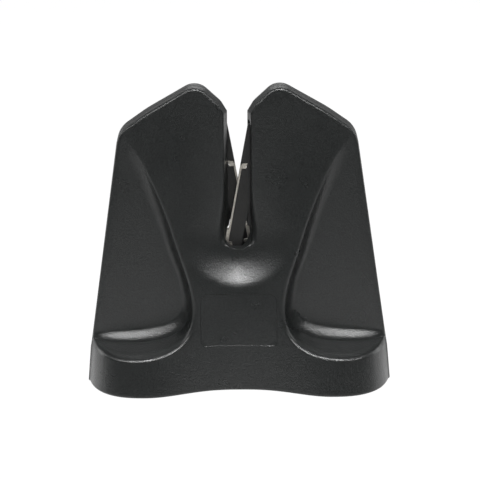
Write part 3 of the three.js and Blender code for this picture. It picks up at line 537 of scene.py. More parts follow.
def wall_part(wall_foot, side, run):
    """Columns over the flat wall, even at first and then as the sine of a turn through the rounded edge."""
    rounding = np.minimum(EDGE_RADIUS, run / 2)
    turn = np.linspace(0, math.pi / 2, ROUND_COLUMNS)[None, :]
    flat = np.linspace(0, 1, WALL_COLUMNS)[None, 1:-1] * (run - rounding)
    stops = np.concatenate([flat, run - rounding * (1 - np.sin(turn))], 1) / np.maximum(run, 1e-6)
    x, z = absolute(lerp(wall_foot[:, None, :], side[:, None, :], stops[..., None]))
    return grip_points(x, z, wall_depth(z))


print("columns: face", FACE_COLUMNS, "fillet", FILLET_COLUMNS, "wall", WALL_COLUMNS - 2 + ROUND_COLUMNS)

# %% [markdown]
# The stretches are joined into the half grid. The rim's sharp corner is rounded by a short curve, the rim
# fades out towards the shoulder as on the real moulding, and the bottom edge is rounded. A Bevel modifier
# would stop where the rim fades; blending the points lets the edge die away.

# %% Half grid
RIM_COLUMN, BEND_STEPS, SHOULDER_FADE, FOOT_ROUND = 6, 11, (0.9, 0.965), 1.1
SHORT_ROW, SHORT_STEP = 9.0, 0.16


def faded_shoulder(rows, along):
    """Towards the shoulder the rows turn into straight ones from the towers' outline to the side, rounded
    at both ends, by the share that each row lies along the rim."""
    flat = rows[..., [0, 2]]
    run = np.cumsum(np.linalg.norm(np.diff(flat, axis=1), axis=2), 1)
    share = np.concatenate([np.zeros((len(rows), 1)), run], 1) / np.maximum(run[:, -1:], 1e-9)
    p = lerp(flat[:, :1], flat[:, -1:], share[..., None])
    x, z = p[..., 0], p[..., 1]
    straight = np.stack([x, np.maximum(edge_drop(x, z), side_drop(x, z)) - envelope_depth(x, z), z], -1)
    return lerp(rows, straight, smoothstep(along, *SHOULDER_FADE)[:, None, None])


def rounded_foot(rows):
    """The bottom edge is a quarter round: places near it move in towards the middle of the base."""
    inside = np.clip(FOOT_ROUND - (rows[..., 2] - SHELL_FOOT), 0, FOOT_ROUND)
    drop = FOOT_ROUND - np.sqrt(FOOT_ROUND**2 - inside**2)
    share = 1 - drop / np.maximum(np.hypot(rows[..., 0], rows[..., 1]), 1)
    return rows * np.stack([share, share, np.ones_like(share)], -1)


def half_grid():
    """Rows by columns of points (x, y, z) of the right half of the face, from the far outline to the side,
    and the number of the first row of the towers. The rim is rounded by the curve
    (1 - w)^2 a + 2 w (1 - w) b + w^2 c from the face to the fillet, with b as its sharp corner."""
    far, along, first_tower = moulding_rows()
    rim, foot = spline(rim_points, along), spline(foot_points, along)
    for curve in (rim, foot):
        curve[:, 0] = np.minimum(curve[:, 0], side_half(curve[:, 1]))
    start, wall_foot = relative(rim), relative(foot)
    start[0, 0] = wall_foot[0, 0] = 1
    face = face_part(start, relative(far), np.linalg.norm(rim - far, axis=1)[:, None])
    rim_x, rim_z = absolute(start)
    corner = np.stack([rim_x, -envelope_depth(rim_x, rim_z), rim_z], -1)[:, None]
    fillet = fillet_part(start, wall_foot, -corner[..., 1], along)
    w = np.linspace(0, 1, BEND_STEPS)[None, 1:-1, None]
    a, b, c = face[:, :1], corner, fillet[:, RIM_COLUMN:RIM_COLUMN + 1]
    bend = (1 - w) ** 2 * a + 2 * w * (1 - w) * b + w**2 * c
    side_z = lerp(foot[:, 1], shoulder_end[1], along)
    side = np.stack([np.ones_like(side_z), side_z], 1)
    run = np.linalg.norm(foot - np.stack([side_half(side_z), side_z], 1), axis=1)[:, None]
    rows = np.concatenate([face[:, ::-1], bend, fillet[:, RIM_COLUMN:], wall_part(wall_foot, side, run)], 1)
    return rounded_foot(faded_shoulder(rows, along)), first_tower


def settled(rows):
    """The same rows, but where a row is short its points gather at even steps of its own length, so that
    rows that shrink to a point close up in clean triangles."""
    gaps = np.linalg.norm(np.diff(rows, axis=1), axis=2)
    along = np.concatenate([np.zeros((len(rows), 1)), np.cumsum(gaps, 1)], 1)
    rising = np.arange(rows.shape[1]) * 1e-9
    out = rows.copy()
    for i in np.nonzero(along[:, -1] < SHORT_ROW)[0]:
        total = along[i, -1]
        count = max(int(total / SHORT_STEP), 1)
        place = np.round(along[i] / max(total, 1e-9) * count) / count * total
        out[i] = np.stack([np.interp(place, along[i] + rising, rows[i, :, k]) for k in range(3)], 1)
    return out


grid, first_tower = half_grid()
grid = settled(grid)
print("half grid of", grid.shape[0], "rows by", grid.shape[1], "columns")

# %% [markdown]
# Behind the face, walls run back to the parting plane, where the two real mouldings meet. Extruding the
# edge would make them straight; here each point has its own way back, because the slot's walls narrow
# towards the parting plane, and they stop short where an arm passes through, which leaves the window
# that it swings in.

# %% Walls back to the parting plane
ARM_TILT, ARM_SWING, PIVOT_Z, CROSSING_Z = math.radians(10.4), math.radians(8), 45.0, 94.0
ARM_WIDTH, ARM_THICKNESS, ARM_SPACING, ARM_SIDE_GAP, ARM_TOP = 7.9, 4.0, 0.8, 0.45, 77.0
SLOT_HALF_INSIDE, SLOT_HALF_FOOT, FLOOR_SPARE = 4.6, 2.0, 0.01
REST_GAP, HEEL_GAP, HEEL_TOP, HEEL_FADE, FADE_START, FADE_END = 0.12, 0.8, 70.9, 0.8, 6.5, 1
WINDOW_SIDE, WINDOW_TOP, WINDOW_STEPS = (0.3, 0.7), (0.4, 0.8), 7
PIVOT_X = ARM_WIDTH / 2 / math.cos(ARM_TILT) - (CROSSING_Z - PIVOT_Z) * math.tan(ARM_TILT)
WINDOW_DEPTH = ARM_SPACING / 2 + ARM_THICKNESS + ARM_SIDE_GAP


def slot_narrowing(x, z):
    """How far a place on the slot's edge moves towards the middle by the parting plane; most at its foot."""
    out = np.abs(x)
    rise = smoothstep(z, SLOT_FLOOR + 2 * SLOT_FLOOR_RADIUS, SLOT_FLOOR + 4 * SLOT_FLOOR_RADIUS)
    near = np.clip(out / SLOT_HALF, 0, 1) * np.clip((APEX[0] - out) / (APEX[0] - SLOT_HALF), 0, 1)
    inside = lerp(SLOT_HALF_FOOT, SLOT_HALF_INSIDE, rise)
    return np.where(z >= SLOT_FLOOR - FLOOR_SPARE, (SLOT_HALF - inside) * near, 0)


def swung_edge(z, tilt, offset):
    """Place across, at a height, of a line beside the arm's middle line when it leans at a tilt."""
    return PIVOT_X + (z - PIVOT_Z) * math.tan(tilt) + offset / math.cos(tilt)


def in_window(x, z):
    """One left of the far edge that the arm sweeps to, up to the arm's top, and zero outside."""
    right = 1 - smoothstep(x - swung_edge(z, ARM_TILT + ARM_SWING, ARM_WIDTH / 2), *WINDOW_SIDE)
    up = (x - PIVOT_X) * math.sin(ARM_TILT) + (z - PIVOT_Z) * math.cos(ARM_TILT)
    return right * (1 - smoothstep(up, ARM_TOP + WINDOW_TOP[0], ARM_TOP + WINDOW_TOP[1]))


def wall_strip(edge, side=0):
    """A strip of points from an edge back to the parting plane, or only to the window's front where the
    window cuts it; side is 1 or -1 for the walls on the right or the left of the slot, and 0 elsewhere."""
    x, y, z = edge[:, 0], edge[:, 1], edge[:, 2]
    inside = x - slot_narrowing(x, z)
    if side < 0:
        gap = lerp(HEEL_GAP, REST_GAP, smoothstep(z, HEEL_TOP - HEEL_FADE, HEEL_TOP))
        beside_arm = -swung_edge(z, ARM_TILT, -ARM_WIDTH / 2 - gap)
        beside_arm = np.minimum(np.maximum(inside, beside_arm), x)
        inside = lerp(beside_arm, inside, smoothstep(z, NOTCH_Z - FADE_START, NOTCH_Z - FADE_END))
    back = np.stack([inside, np.full_like(x, -PARTING), z], -1)
    stop = np.clip((WINDOW_DEPTH - PARTING) / np.maximum(-y - PARTING, 1e-6), 0, 1)
    cut = in_window(back[:, 0], z) * stop * (side > 0)
    steps = np.linspace(0, 1, WINDOW_STEPS)[None, 1:, None]
    return edge[:, None] + (back - edge)[:, None] * steps * (1 - cut)[:, None, None]


print("pivot at", round(PIVOT_X, 3), PIVOT_Z, "window", round(WINDOW_DEPTH, 2), "mm deep")

# %% [markdown]
# Grids become meshes by numbering their corners. Blender's own grid primitive could be bent into shape,
# but arrays allow the pieces of the shell to be joined edge to edge, and points in the same place to be
# made one, which closes the seams.

# %% From grids to meshes
WELD_GRAIN = 2e-4


def grid_quads(rows, columns, start=0):
    """Corner numbers of the quads between the rows and columns of a grid of points."""
    index = np.arange(rows * columns).reshape(rows, columns) + start
    return np.stack([index[:-1, :-1], index[:-1, 1:], index[1:, 1:], index[1:, :-1]], -1).reshape(-1, 4)


def half_shell(side):
    """Vertices and quads of the right (1) or the left half (-1): the face's grid, and its walls along the
    towers and the slot, along the side, and along the foot of the side."""
    towers = wall_strip(grid[first_tower:, 0], side)
    flank = wall_strip(grid[:, -1])
    foot = wall_strip(grid[0])
    parts = [
        np.concatenate([towers[:, ::-1], grid[first_tower:, :1]], 1),
        grid,
        np.concatenate([grid[:, -1:], flank], 1),
        np.concatenate([foot[:, ::-1], grid[0][:, None]], 1).transpose(1, 0, 2),
    ]
    vertices, quads, count = [], [], 0
    for part in parts:
        quads.append(grid_quads(*part.shape[:2], count))
        vertices.append(part.reshape(-1, 3) * [side, 1, 1])
        count += len(vertices[-1])
    quads = np.vstack(quads)
    return np.vstack(vertices), quads if side > 0 else quads[:, ::-1]


def weld(vertices, quads):
    """Joins vertices in the same place and drops the corners that this closes up, as quads and triangles."""
    cells = np.round(vertices / WELD_GRAIN)
    _, first, same = np.unique(cells, axis=0, return_index=True, return_inverse=True)
    faces = same.reshape(-1)[quads]
    following = np.roll(faces, -1, axis=1)
    keep = faces != following
    count = keep.sum(1)
    whole = faces[count == 4]
    cut = faces[count == 3][keep[count == 3]].reshape(-1, 3)
    return vertices[first], whole, cut


(right, right_quads), (left, left_quads) = half_shell(1), half_shell(-1)
both_quads = np.vstack([right_quads, left_quads + len(right)])
shell_points, shell_quads, shell_triangles = weld(np.vstack([right, left]), both_quads)
print("shell face:", len(shell_points), "vertices,", len(shell_quads), "quads,",
      len(shell_triangles), "triangles")

# %% [markdown]
# Every new piece becomes an object in the same way. Each could repeat the lines for it, but one function
# keeps them alike: the arrays go into a mesh, vertices in the same place become one, and the faces are
# turned to point outwards before a modifier gives a wall its thickness.

# %% Making a piece
def make_piece(name, vertices, *faces, sharp=None, join=None):
    """A new piece from arrays: vertices in millimetres and lists of faces; smooth, or sharp past an angle.
    With a join distance, vertices closer than it become one and the faces are turned to agree."""
    mesh = bpy.data.meshes.new(name)
    corners = [f for group in faces for f in group.tolist()]
    mesh.from_pydata((np.asarray(vertices) * MM).tolist(), [], corners)
    if join:
        work = bmesh.new()
        work.from_mesh(mesh)
        bmesh.ops.remove_doubles(work, verts=work.verts, dist=join * MM)
        bmesh.ops.recalc_face_normals(work, faces=work.faces)
        work.to_mesh(mesh)
        work.free()
    mesh.validate()
    mesh.shade_smooth()
    if sharp:
        mesh.set_sharp_from_angle(angle=math.radians(sharp))
    piece = bpy.data.objects.new(name, mesh)
    scene.collection.objects.link(piece)
    return piece


def read_points(mesh):
    """Vertices of a mesh in millimetres."""
    points = np.zeros(len(mesh.vertices) * 3)
    mesh.vertices.foreach_get("co", points)
    return points.reshape(-1, 3) / MM


print("arrays are in millimetres, and a mesh in metres: one millimetre is", MM)

# %% [markdown]
# The real plastic is a charcoal resin from a finely eroded mould, so its look comes from its surface. An
# image texture could show that grain but would need unwrapping; noise on Object coordinates has the same
# grain size everywhere. It goes into the bump and speckles the colour, and slow clouds vary the
# roughness a little.

# %% Moulded plastic
CLOUD_SCALE, CLOUD_RANGE, CLOUD_ROUGHNESS = 45.0, (0.35, 0.65), 0.03
SPECK_RANGE, SPECK = (0.3, 0.7), 0.45


def moulded_plastic(name, color, roughness, grain_mm, grain_height, specular):
    """A dark plastic: a grain of a size and height in millimetres, which is a bump and speckles the colour,
    and clouds in the roughness."""
    material = bpy.data.materials.new(name)
    add = node_tree(material)
    place = add("ShaderNodeTexCoord").outputs["Object"]
    grain = add("ShaderNodeTexNoise", {"Vector": place, "Scale": 1 / (grain_mm * MM), "Detail": 2.0,
                                       "Roughness": 0.6}).outputs["Fac"]
    clouds = add("ShaderNodeTexNoise", {"Vector": place, "Scale": CLOUD_SCALE, "Detail": 3.0}).outputs["Fac"]
    rough = map_range(add, clouds, CLOUD_RANGE, (roughness - CLOUD_ROUGHNESS, roughness + CLOUD_ROUGHNESS))
    speck = map_range(add, grain, SPECK_RANGE, (0.0, 1.0))
    dark, light = [c * (1 - SPECK) for c in color] + [1], [c * (1 + SPECK) for c in color] + [1]
    tint = add("ShaderNodeMix", {"Factor": speck, "A": dark, "B": light}, data_type="RGBA").outputs["Result"]
    bump = add("ShaderNodeBump", {"Height": grain, "Distance": grain_height * MM, "Strength": 1.0})
    inputs = {"Base Color": tint, "Roughness": rough, "Normal": bump.outputs["Normal"],
              "Specular IOR Level": specular}
    shader = add("ShaderNodeBsdfPrincipled", inputs)
    add("ShaderNodeOutputMaterial", {"Surface": shader.outputs["BSDF"]})
    return material


housing_plastic = moulded_plastic("charcoal_plastic", (0.0085, 0.0093, 0.0092), 0.3, 0.7, 0.13, 0.43)
arm_plastic = moulded_plastic("black_plastic", (0.0078, 0.0078, 0.0076), 0.5, 0.3, 0.004, 0.3)
rubber = moulded_plastic("matt_rubber", (0.011, 0.011, 0.011), 0.75, 0.25, 0.02, 0.3)
plate_plastic = moulded_plastic("plate_plastic", (0.013, 0.014, 0.014), 0.5, 0.6, 0.015, 0.4)
print("plastics:", [m.name for m in (housing_plastic, arm_plastic, rubber, plate_plastic)])

# %% [markdown]
# Small turned things, such as screws, feet and rings, come off a lathe or a round mould. The Screw
# modifier could spin a profile; a profile and a turn as two arrays do the same and can be changed point by
# point. The same surface is also the tool for a round boss or a hole, and a boolean joins it to a moulding
# or cuts it out.

# %% Turned surfaces and boolean tools
TOOL_JOIN = 0.001


def wrapped_quads(rows, columns):
    """Corner numbers of the quads of a grid whose last column meets its first."""
    index = np.arange(rows * columns).reshape(rows, columns)
    following = np.roll(index, -1, axis=1)
    return np.stack([index[:-1], following[:-1], following[1:], index[1:]], -1).reshape(-1, 4)


def lathe(profile, centre, axis="z", count=40):
    """A profile of [radius, place along the axis] carried round an upright axis, or one towards the rear."""
    radius, along = np.array(profile, float).T
    turn = np.linspace(0, 2 * math.pi, count, endpoint=False)
    a, b = radius[:, None] * np.cos(turn), radius[:, None] * np.sin(turn)
    c = np.repeat(along[:, None], count, 1)
    points = np.stack([a, b, c] if axis == "z" else [a, c, b], -1)
    return (points + np.array(centre, float)).reshape(-1, 3), wrapped_quads(len(profile), count)


def together(*surfaces):
    """Several surfaces as one list of vertices and one of quads."""
    starts = np.cumsum([0] + [len(v) for v, _ in surfaces])
    return np.vstack([v for v, _ in surfaces]), np.vstack([q + k for (_, q), k in zip(surfaces, starts)])


def apply_changes(piece, *changes):
    """Applies a piece's modifiers and then booleans, each an operation and the surfaces of its tool."""
    tools = []
    for k, (operation, surfaces) in enumerate(changes):
        tool = make_piece(f"{piece.name}_tool_{k}", *together(*surfaces), join=TOOL_JOIN)
        change = piece.modifiers.new(operation, "BOOLEAN")
        change.operation, change.object, change.solver = operation, tool, "MANIFOLD"
        tools.append(tool)
    graph = bpy.context.evaluated_depsgraph_get()
    mesh = bpy.data.meshes.new_from_object(piece.evaluated_get(graph))
    piece.modifiers.clear()
    piece.data = mesh
    for tool in tools:
        bpy.data.objects.remove(tool)
    triangles = sum(len(face.vertices) - 2 for face in mesh.polygons)
    print(piece.name, "has", len(mesh.vertices), "vertices,", triangles, "triangles")


print("a turned surface of three rings has", len(lathe([(0, 0), (1, 0), (0, 1)], (0, 0, 0))[1]), "quads")

# %% [markdown]
# Inside the slot each arm swings past the moulding, so the shells need room for it. The room could be
# carved by hand; a flat plate in the arm's own frame, wide enough for the arm at rest and spread, follows
# the arm's sizes. The honing strips further on are built of the same kind of plate.

# %% Plates, and the room for an arm
ROOM, ROOM_FOOT, ROOM_BACK, HEEL_EDGE, HEEL_END, HEEL_STEP = 0.3, 12.0, 1.0, 4.75, 25.9, 0.4
ROOM_SPARE = 0.05


def plate(outline, front, back):
    """A flat plate: an outline of [across, along] in the arm's own frame, given a thickness in depth. Rings
    shrink to the outline's middle on both faces, so it is closed; the outline is star-shaped about it."""
    flat = np.array(outline, float)
    middle = flat.mean(0)
    across, along = np.moveaxis(np.array([middle + 0 * flat, flat, flat, middle + 0 * flat]), -1, 0)
    x = PIVOT_X + along * math.sin(ARM_TILT) + across * math.cos(ARM_TILT)
    z = PIVOT_Z + along * math.cos(ARM_TILT) - across * math.sin(ARM_TILT)
    y = np.array([front, front, back, back])[:, None] + 0 * x
    points = np.stack([x, y, z], -1)
    return points.reshape(-1, 3), wrapped_quads(*points.shape[:2])


def arm_room():
    """The room that a swinging arm and its honing strip need: in the arm's own frame, the left edge is
    where they rest, and the right one is where the arm's other edge is when it is spread."""
    across, along = ARM_WIDTH / 2 + ROOM, ARM_TOP + 2 * ROOM
    turn = np.linspace(0, ARM_SWING, 3)[:, None]
    reach = across * np.cos(turn) + along * np.sin(turn)
    top = np.hstack([reach, along * np.cos(turn) - across * np.sin(turn)])
    low = (across + ROOM_FOOT * math.sin(ARM_SWING), ROOM_FOOT)
    left = -ARM_WIDTH / 2 - REST_GAP / 2
    heel = [(-HEEL_EDGE, ROOM_FOOT), (-HEEL_EDGE, HEEL_END), (left, HEEL_END + HEEL_STEP)]
    return plate([*heel, (left, along), *top, low], ROOM_SPARE - WINDOW_DEPTH, ROOM_BACK)


print("the room for an arm has", len(arm_room()[0]), "vertices")

# %% [markdown]
# Four screws hold the halves together. Inside the front half they end in blind bosses, and the rear half
# has a well for each head. They could be part of the face's grid, which would need far more rows there; a
# turned tool for each is simpler. A wide disc cuts off what the thickened walls push past their ends, so
# that the fine groove between the two halves stays open.

# %% Bosses, screw holes and the parting plane
SCREW_SPOTS = [(side * x, z) for x, z in [(30.0, 108.0), (47.0, 38.0)] for side in (-1, 1)]
BOSS_RADIUS, WELL_RADIUS, HOLE_RADIUS, WELL_FLOOR, HOLE_END = 4.0, 3.1, 1.55, 4.0, 7.5
WELL_FRONT, HOLE_BACK = 40, 1
TRIM, TRIM_RADIUS, TRIM_BACK, TRIM_HEIGHT, TRIM_SIDES = 0.02, 200, 20, 60, 8


def bosses():
    """Round bosses from half way into the wall back to the parting plane, one for each housing screw."""
    surfaces = []
    for x, z in SCREW_SPOTS:
        start = WALL / 2 - wall_depth(z)
        profile = [(0, start), (BOSS_RADIUS, start), (BOSS_RADIUS, -PARTING), (0, -PARTING)]
        surfaces.append(lathe(profile, (x, 0, z), "y"))
    return surfaces


def screw_holes(well):
    """Holes for the screws: blind ones, or through holes with a well for the head."""
    deep = [(HOLE_RADIUS, -WELL_FLOOR), (WELL_RADIUS, -WELL_FLOOR), (WELL_RADIUS, -WELL_FRONT),
            (0, -WELL_FRONT)]
    blind = [(HOLE_RADIUS, -HOLE_END), (0, -HOLE_END - HOLE_RADIUS / 2)]
    profile = [(0, HOLE_BACK), (HOLE_RADIUS, HOLE_BACK)] + (deep if well else blind)
    return [lathe(profile, (x, 0, z), "y") for x, z in SCREW_SPOTS]


def behind_parting():
    """A wide disc from a hair behind the walls' ends to well behind the parting plane, which trims what
    the thickened walls push past it."""
    start = TRIM - PARTING
    profile = [(0, start), (TRIM_RADIUS, start), (TRIM_RADIUS, TRIM_BACK), (0, TRIM_BACK)]
    return lathe(profile, (0, 0, TRIM_HEIGHT), "y", TRIM_SIDES)


print("screw places:", SCREW_SPOTS)

# %% [markdown]
# The front of the waist has a bare panel, sunk a third of a millimetre, with rounded corners and sloping
# sides that catch a thin line of light. A bump could draw the line but would vanish at a low angle, so
# the pocket is real: its floor follows the face's own curve a little deeper.

# %% Pocket of the panel
PANEL_HALF, PANEL_LOW, PANEL_HIGH, PANEL_CORNER, PANEL_DEPTH = 17.5, 20.9, 44.7, 2.8, 0.3
PANEL_RINGS, PANEL_STEPS, PANEL_SPACING, PANEL_SKIN, PANEL_FRONT = 14, 12, 1.0, 0.02, 50.0


def panel_tool():
    """The panel's pocket: rings of a rounded rectangle from its middle out, on the face's own curve but a
    little deeper, closed by the same rings well in front of the face. The last ring stands a hair in front
    of the face, and the one before it is as much narrower as the pocket is deep."""
    turn = np.linspace(0, math.pi / 2, PANEL_STEPS)
    corner = np.stack([np.cos(turn), np.sin(turn)], 1) * PANEL_CORNER
    half_size = np.array([PANEL_HALF, (PANEL_HIGH - PANEL_LOW) / 2])
    quarter = corner + (half_size - PANEL_CORNER)
    loop = np.vstack([quarter, (quarter * [-1, 1])[::-1], quarter * [-1, -1], (quarter * [1, -1])[::-1]])
    loop = resample(np.vstack([loop, loop[:1]]), PANEL_SPACING)[0][:-1]
    inner_share = 1 - PANEL_DEPTH / half_size
    share = np.vstack([np.linspace(0, 1, PANEL_RINGS)[:, None] * inner_share, [[1, 1]]])[:, None]
    flat = loop * share + [0, (PANEL_HIGH + PANEL_LOW) / 2]
    x, z = flat[..., 0], flat[..., 1]
    depth = np.append(np.full(PANEL_RINGS, PANEL_DEPTH), -PANEL_SKIN)[:, None]
    back = np.stack([x, depth - face_depth(x, z), z], -1)
    front = np.stack([x, np.full_like(x, -PANEL_FRONT), z], -1)[::-1]
    points = np.concatenate([back, front])
    return points.reshape(-1, 3), wrapped_quads(*points.shape[:2])


print("panel of", 2 * PANEL_HALF, "by", round(PANEL_HIGH - PANEL_LOW, 1), "mm")

# %% [markdown]
# Both half shells come from the same moulding, and the rear one is turned half round. Solidify gives the
# face its wall, thinner at the shoulder, where the rows come together and a full wall would fold over
# itself. Booleans then add the bosses and cut the holes, the front's pocket and the room for the arm, and
# trim the walls' ends. Modelling the inside by hand would give the same, at more length.

# %% The two half shells
SHELL_JOIN, SHELL_SHARP, SHOULDER_REACH, SHOULDER_WALL = 0.02, 35, 5, 0.04


def add_shell(name, node, turn, changes):
    """A half shell: the face with its walls, thickened inwards, changed by booleans, and turned in place."""
    piece = make_piece(name, shell_points, shell_quads, shell_triangles, join=SHELL_JOIN)
    wall = piece.modifiers.new("wall", "SOLIDIFY")
    wall.thickness = WALL * MM
    wall.offset = -1
    gaps = np.abs(read_points(piece.data)[:, [0, 2]]) - shoulder_end
    near = np.linalg.norm(gaps, axis=1) < SHOULDER_REACH
    group = piece.vertex_groups.new(name="wall")
    for share, chosen in ((1.0, ~near), (SHOULDER_WALL, near)):
        group.add(np.nonzero(chosen)[0].tolist(), share, "REPLACE")
    wall.vertex_group = "wall"
    apply_changes(piece, *changes)
    piece.data.transform(Matrix.Diagonal((turn, turn, 1, 1)))
    piece.data.set_sharp_from_angle(angle=math.radians(SHELL_SHARP))
    piece.data.materials.clear()
    piece.data.materials.append(housing_plastic)
    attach(piece, "housing")
    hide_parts(node)
    print(name, "has", len(piece.data.polygons), "faces")


cut_to_fit = [("DIFFERENCE", [arm_room()]), ("DIFFERENCE", [behind_parting()])]
front_changes = [("UNION", bosses()), ("DIFFERENCE", screw_holes(False)), ("DIFFERENCE", [panel_tool()])]
rear_changes = [("UNION", bosses()), ("DIFFERENCE", screw_holes(True))]
add_shell("front_shell_moulding", "front_shell", 1, front_changes + cut_to_fit)
add_shell("rear_shell_moulding", "rear_shell", -1, rear_changes + cut_to_fit)

# %% [markdown]
# The metals differ in finish: zinc-plated screws are soft and cloudy, drawn wire is bright with fine
# streaks, and the honing strips carry a coat of fine grit that scatters the light warmly. Each could have
# a tree of its own, but they differ only in colour, roughness and grain, so one function serves all three.

# %% Metal and grit
PATCH_SCALE, PATCH_RANGE, LEAST_ROUGH, MOST_ROUGH = 400.0, (0.3, 0.7), 0.8, 1.25


def metal(name, color, roughness, streak, grain_mm, grain_height, spots=0.12):
    """A metal with patches in its roughness, and a grain that can be stretched along one axis, which is a
    bump and spots the colour by a share."""
    material = bpy.data.materials.new(name)
    add = node_tree(material)
    place = add("ShaderNodeTexCoord").outputs["Object"]
    drawn = add("ShaderNodeMapping", {"Vector": place, "Scale": streak}).outputs["Vector"]
    fine = {"Vector": drawn, "Scale": 1 / (grain_mm * MM), "Detail": 3.0}
    grain = add("ShaderNodeTexNoise", fine).outputs["Fac"]
    slow = {"Vector": place, "Scale": PATCH_SCALE, "Detail": 3.0}
    patches = add("ShaderNodeTexNoise", slow).outputs["Fac"]
    rough = map_range(add, patches, PATCH_RANGE, (roughness * LEAST_ROUGH, roughness * MOST_ROUGH))
    dark, light = [c * (1 - spots) for c in color] + [1], [min(c * (1 + spots), 1) for c in color] + [1]
    tint = add("ShaderNodeMix", {"Factor": grain, "A": dark, "B": light}, data_type="RGBA").outputs["Result"]
    bump = add("ShaderNodeBump", {"Height": grain, "Distance": grain_height * MM, "Strength": 1.0})
    shader = add("ShaderNodeBsdfPrincipled", {"Base Color": tint, "Metallic": 1.0, "Roughness": rough,
                                              "Normal": bump.outputs["Normal"]})
    add("ShaderNodeOutputMaterial", {"Surface": shader.outputs["BSDF"]})
    return material


zinc = metal("zinc_plate", (0.6, 0.6, 0.61), 0.32, (1, 1, 1), 0.5, 0.01)
wire = metal("drawn_wire", (0.66, 0.66, 0.66), 0.24, (0.2, 1, 1), 0.2, 0.004)
grit = metal("honing_grit", (0.43, 0.41, 0.37), 0.45, (1, 1, 1), 0.3, 0.04, spots=0.45)
print("metals:", [m.name for m in (zinc, wire, grit)])

# %% [markdown]
# The arms, the pivot pins and the base plate are plain enough that the engineering model's own solids
# serve. They could be drawn again, but that would only risk a misfit, so each just gets its finish.

# %% Finishes of the plain pieces
def finish_node(node, material):
    """Gives a CAD node that stays visible its finish; its shape and place stay untouched."""
    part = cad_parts[node]
    part.data.materials.clear()
    part.data.materials.append(material)


plain_pieces = (("front_arm", arm_plastic), ("rear_arm", arm_plastic), ("base_plate", plate_plastic),
                ("left_pivot_pin", zinc), ("right_pivot_pin", zinc))
for node, material in plain_pieces:
    finish_node(node, material)
print("plain pieces:", [node for node, _ in plain_pieces])

# %% [markdown]
# Each screw has a domed head with a cross recess and a threaded shank. A texture could hint at both, but
# the heads show in the wells at the rear, so each screw is a real surface with two parameters, one along
# the profile and one round the axis. The thread is a ridge whose place depends on both, and the recess is
# a dip in the head's top.

# %% Screws
HEAD_RADIUS, HOUSING_HEAD, BASE_HEAD, SHANK_RADIUS = 2.8, 2.0, 1.2, 1.45
HEAD_RINGS, HEAD_DOME, DOME_POWER, SCREW_SIDES, SCREW_SHARP = 26, 0.35, 4, 48, 50
RECESS_HALF, RECESS_REACH, RECESS_DEPTH, RECESS_EDGE, RECESS_END = 0.42, 1.55, 0.9, (0.08, 0.12), 0.3
THREAD_PITCH, THREAD_RINGS, THREAD_DEPTH, TIP_LENGTH, TIP_RADIUS, TIP_BLUNT = 1.1, 72, 0.24, 1.2, 0.55, 0.5


def screw_points(head_height, length):
    """Rows round the axis from the head's middle, over its rounded rim, down its underside and the shank to
    the tip. The thread lowers the shank by a triangle wave of (place / pitch - turn); the recess lowers the
    head where the place is within a narrow cross."""
    turn = np.linspace(0, 2 * math.pi, SCREW_SIDES, endpoint=False)
    ring = np.ones(SCREW_SIDES)
    dome = np.linspace(0, 1, HEAD_RINGS)[:, None]
    top_r = dome * HEAD_RADIUS * ring
    top_z = -HEAD_DOME * head_height * dome**DOME_POWER * ring
    a, b = np.abs(top_r * np.cos(turn)), np.abs(top_r * np.sin(turn))
    narrow, reach = np.minimum(a, b), np.maximum(a, b)
    slim = 1 - smoothstep(narrow, RECESS_HALF - RECESS_EDGE[0], RECESS_HALF + RECESS_EDGE[1])
    top_z = top_z - RECESS_DEPTH * (slim * (1 - smoothstep(reach, RECESS_REACH - RECESS_END, RECESS_REACH)))
    under = np.array([[HEAD_RADIUS, -head_height], [SHANK_RADIUS, -head_height]])
    down = np.linspace(0, 1, THREAD_RINGS)[1:, None] * (length - TIP_LENGTH)
    wave = np.abs(((down / THREAD_PITCH - turn / (2 * math.pi)) % 1) - 0.5) * 2
    shank_r = SHANK_RADIUS * (1 - THREAD_DEPTH * wave * smoothstep(down, 0, THREAD_PITCH))
    end = -head_height - length
    tip = np.array([[SHANK_RADIUS * TIP_RADIUS, end + TIP_BLUNT], [0, end]])
    rows_r = np.vstack([top_r, under[:, :1] * ring, shank_r, tip[:, :1] * ring])
    rows_z = np.vstack([top_z, under[:, 1:] * ring, (-head_height - down) * ring, tip[:, 1:] * ring])
    return np.stack([rows_r * np.cos(turn), rows_r * np.sin(turn), rows_z], -1)


def add_screw(node, head_height, along):
    """A screw in the place of its CAD node, with its head towards +Y ("y") or downwards ("z")."""
    low, high = (np.array(v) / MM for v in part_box(node))
    middle = (low + high) / 2
    k = 1 if along == "y" else 2
    points = screw_points(head_height, high[k] - low[k] - head_height)
    a, b, c = points[..., 0], points[..., 1], points[..., 2]
    if along == "y":
        points = np.stack([a + middle[0], c + high[1], b + middle[2]], -1)
    else:
        points = np.stack([a + middle[0], b + middle[1], low[2] - c], -1)
    quads = wrapped_quads(*points.shape[:2])
    piece = make_piece(node + "_threaded", points.reshape(-1, 3), quads, sharp=SCREW_SHARP, join=TOOL_JOIN)
    piece.data.materials.append(zinc)
    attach(piece, "housing")
    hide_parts(node)


for k in range(1, 5):
    add_screw(f"housing_screw_{k}", HOUSING_HEAD, "y")
    add_screw(f"base_screw_{k}", BASE_HEAD, "z")

# %% [markdown]
# The feet are soft rubber discs with a rounded lower edge, and a shallow groove under each parts the face
# that grips the table into a ring and a disc. A cylinder with a bevel would do for the edge, but not for
# the groove, so each is turned from a profile.

# %% Rubber feet
FOOT_EDGE, FOOT_ARC, FOOT_SIDES, FOOT_SHARP, FOOT_BEVEL = 0.5, 6, 56, 60, 0.2
GROOVE_START, GROOVE_END, GROOVE_DEPTH, GROOVE_STEPS = 0.42, 0.66, 0.3, 9


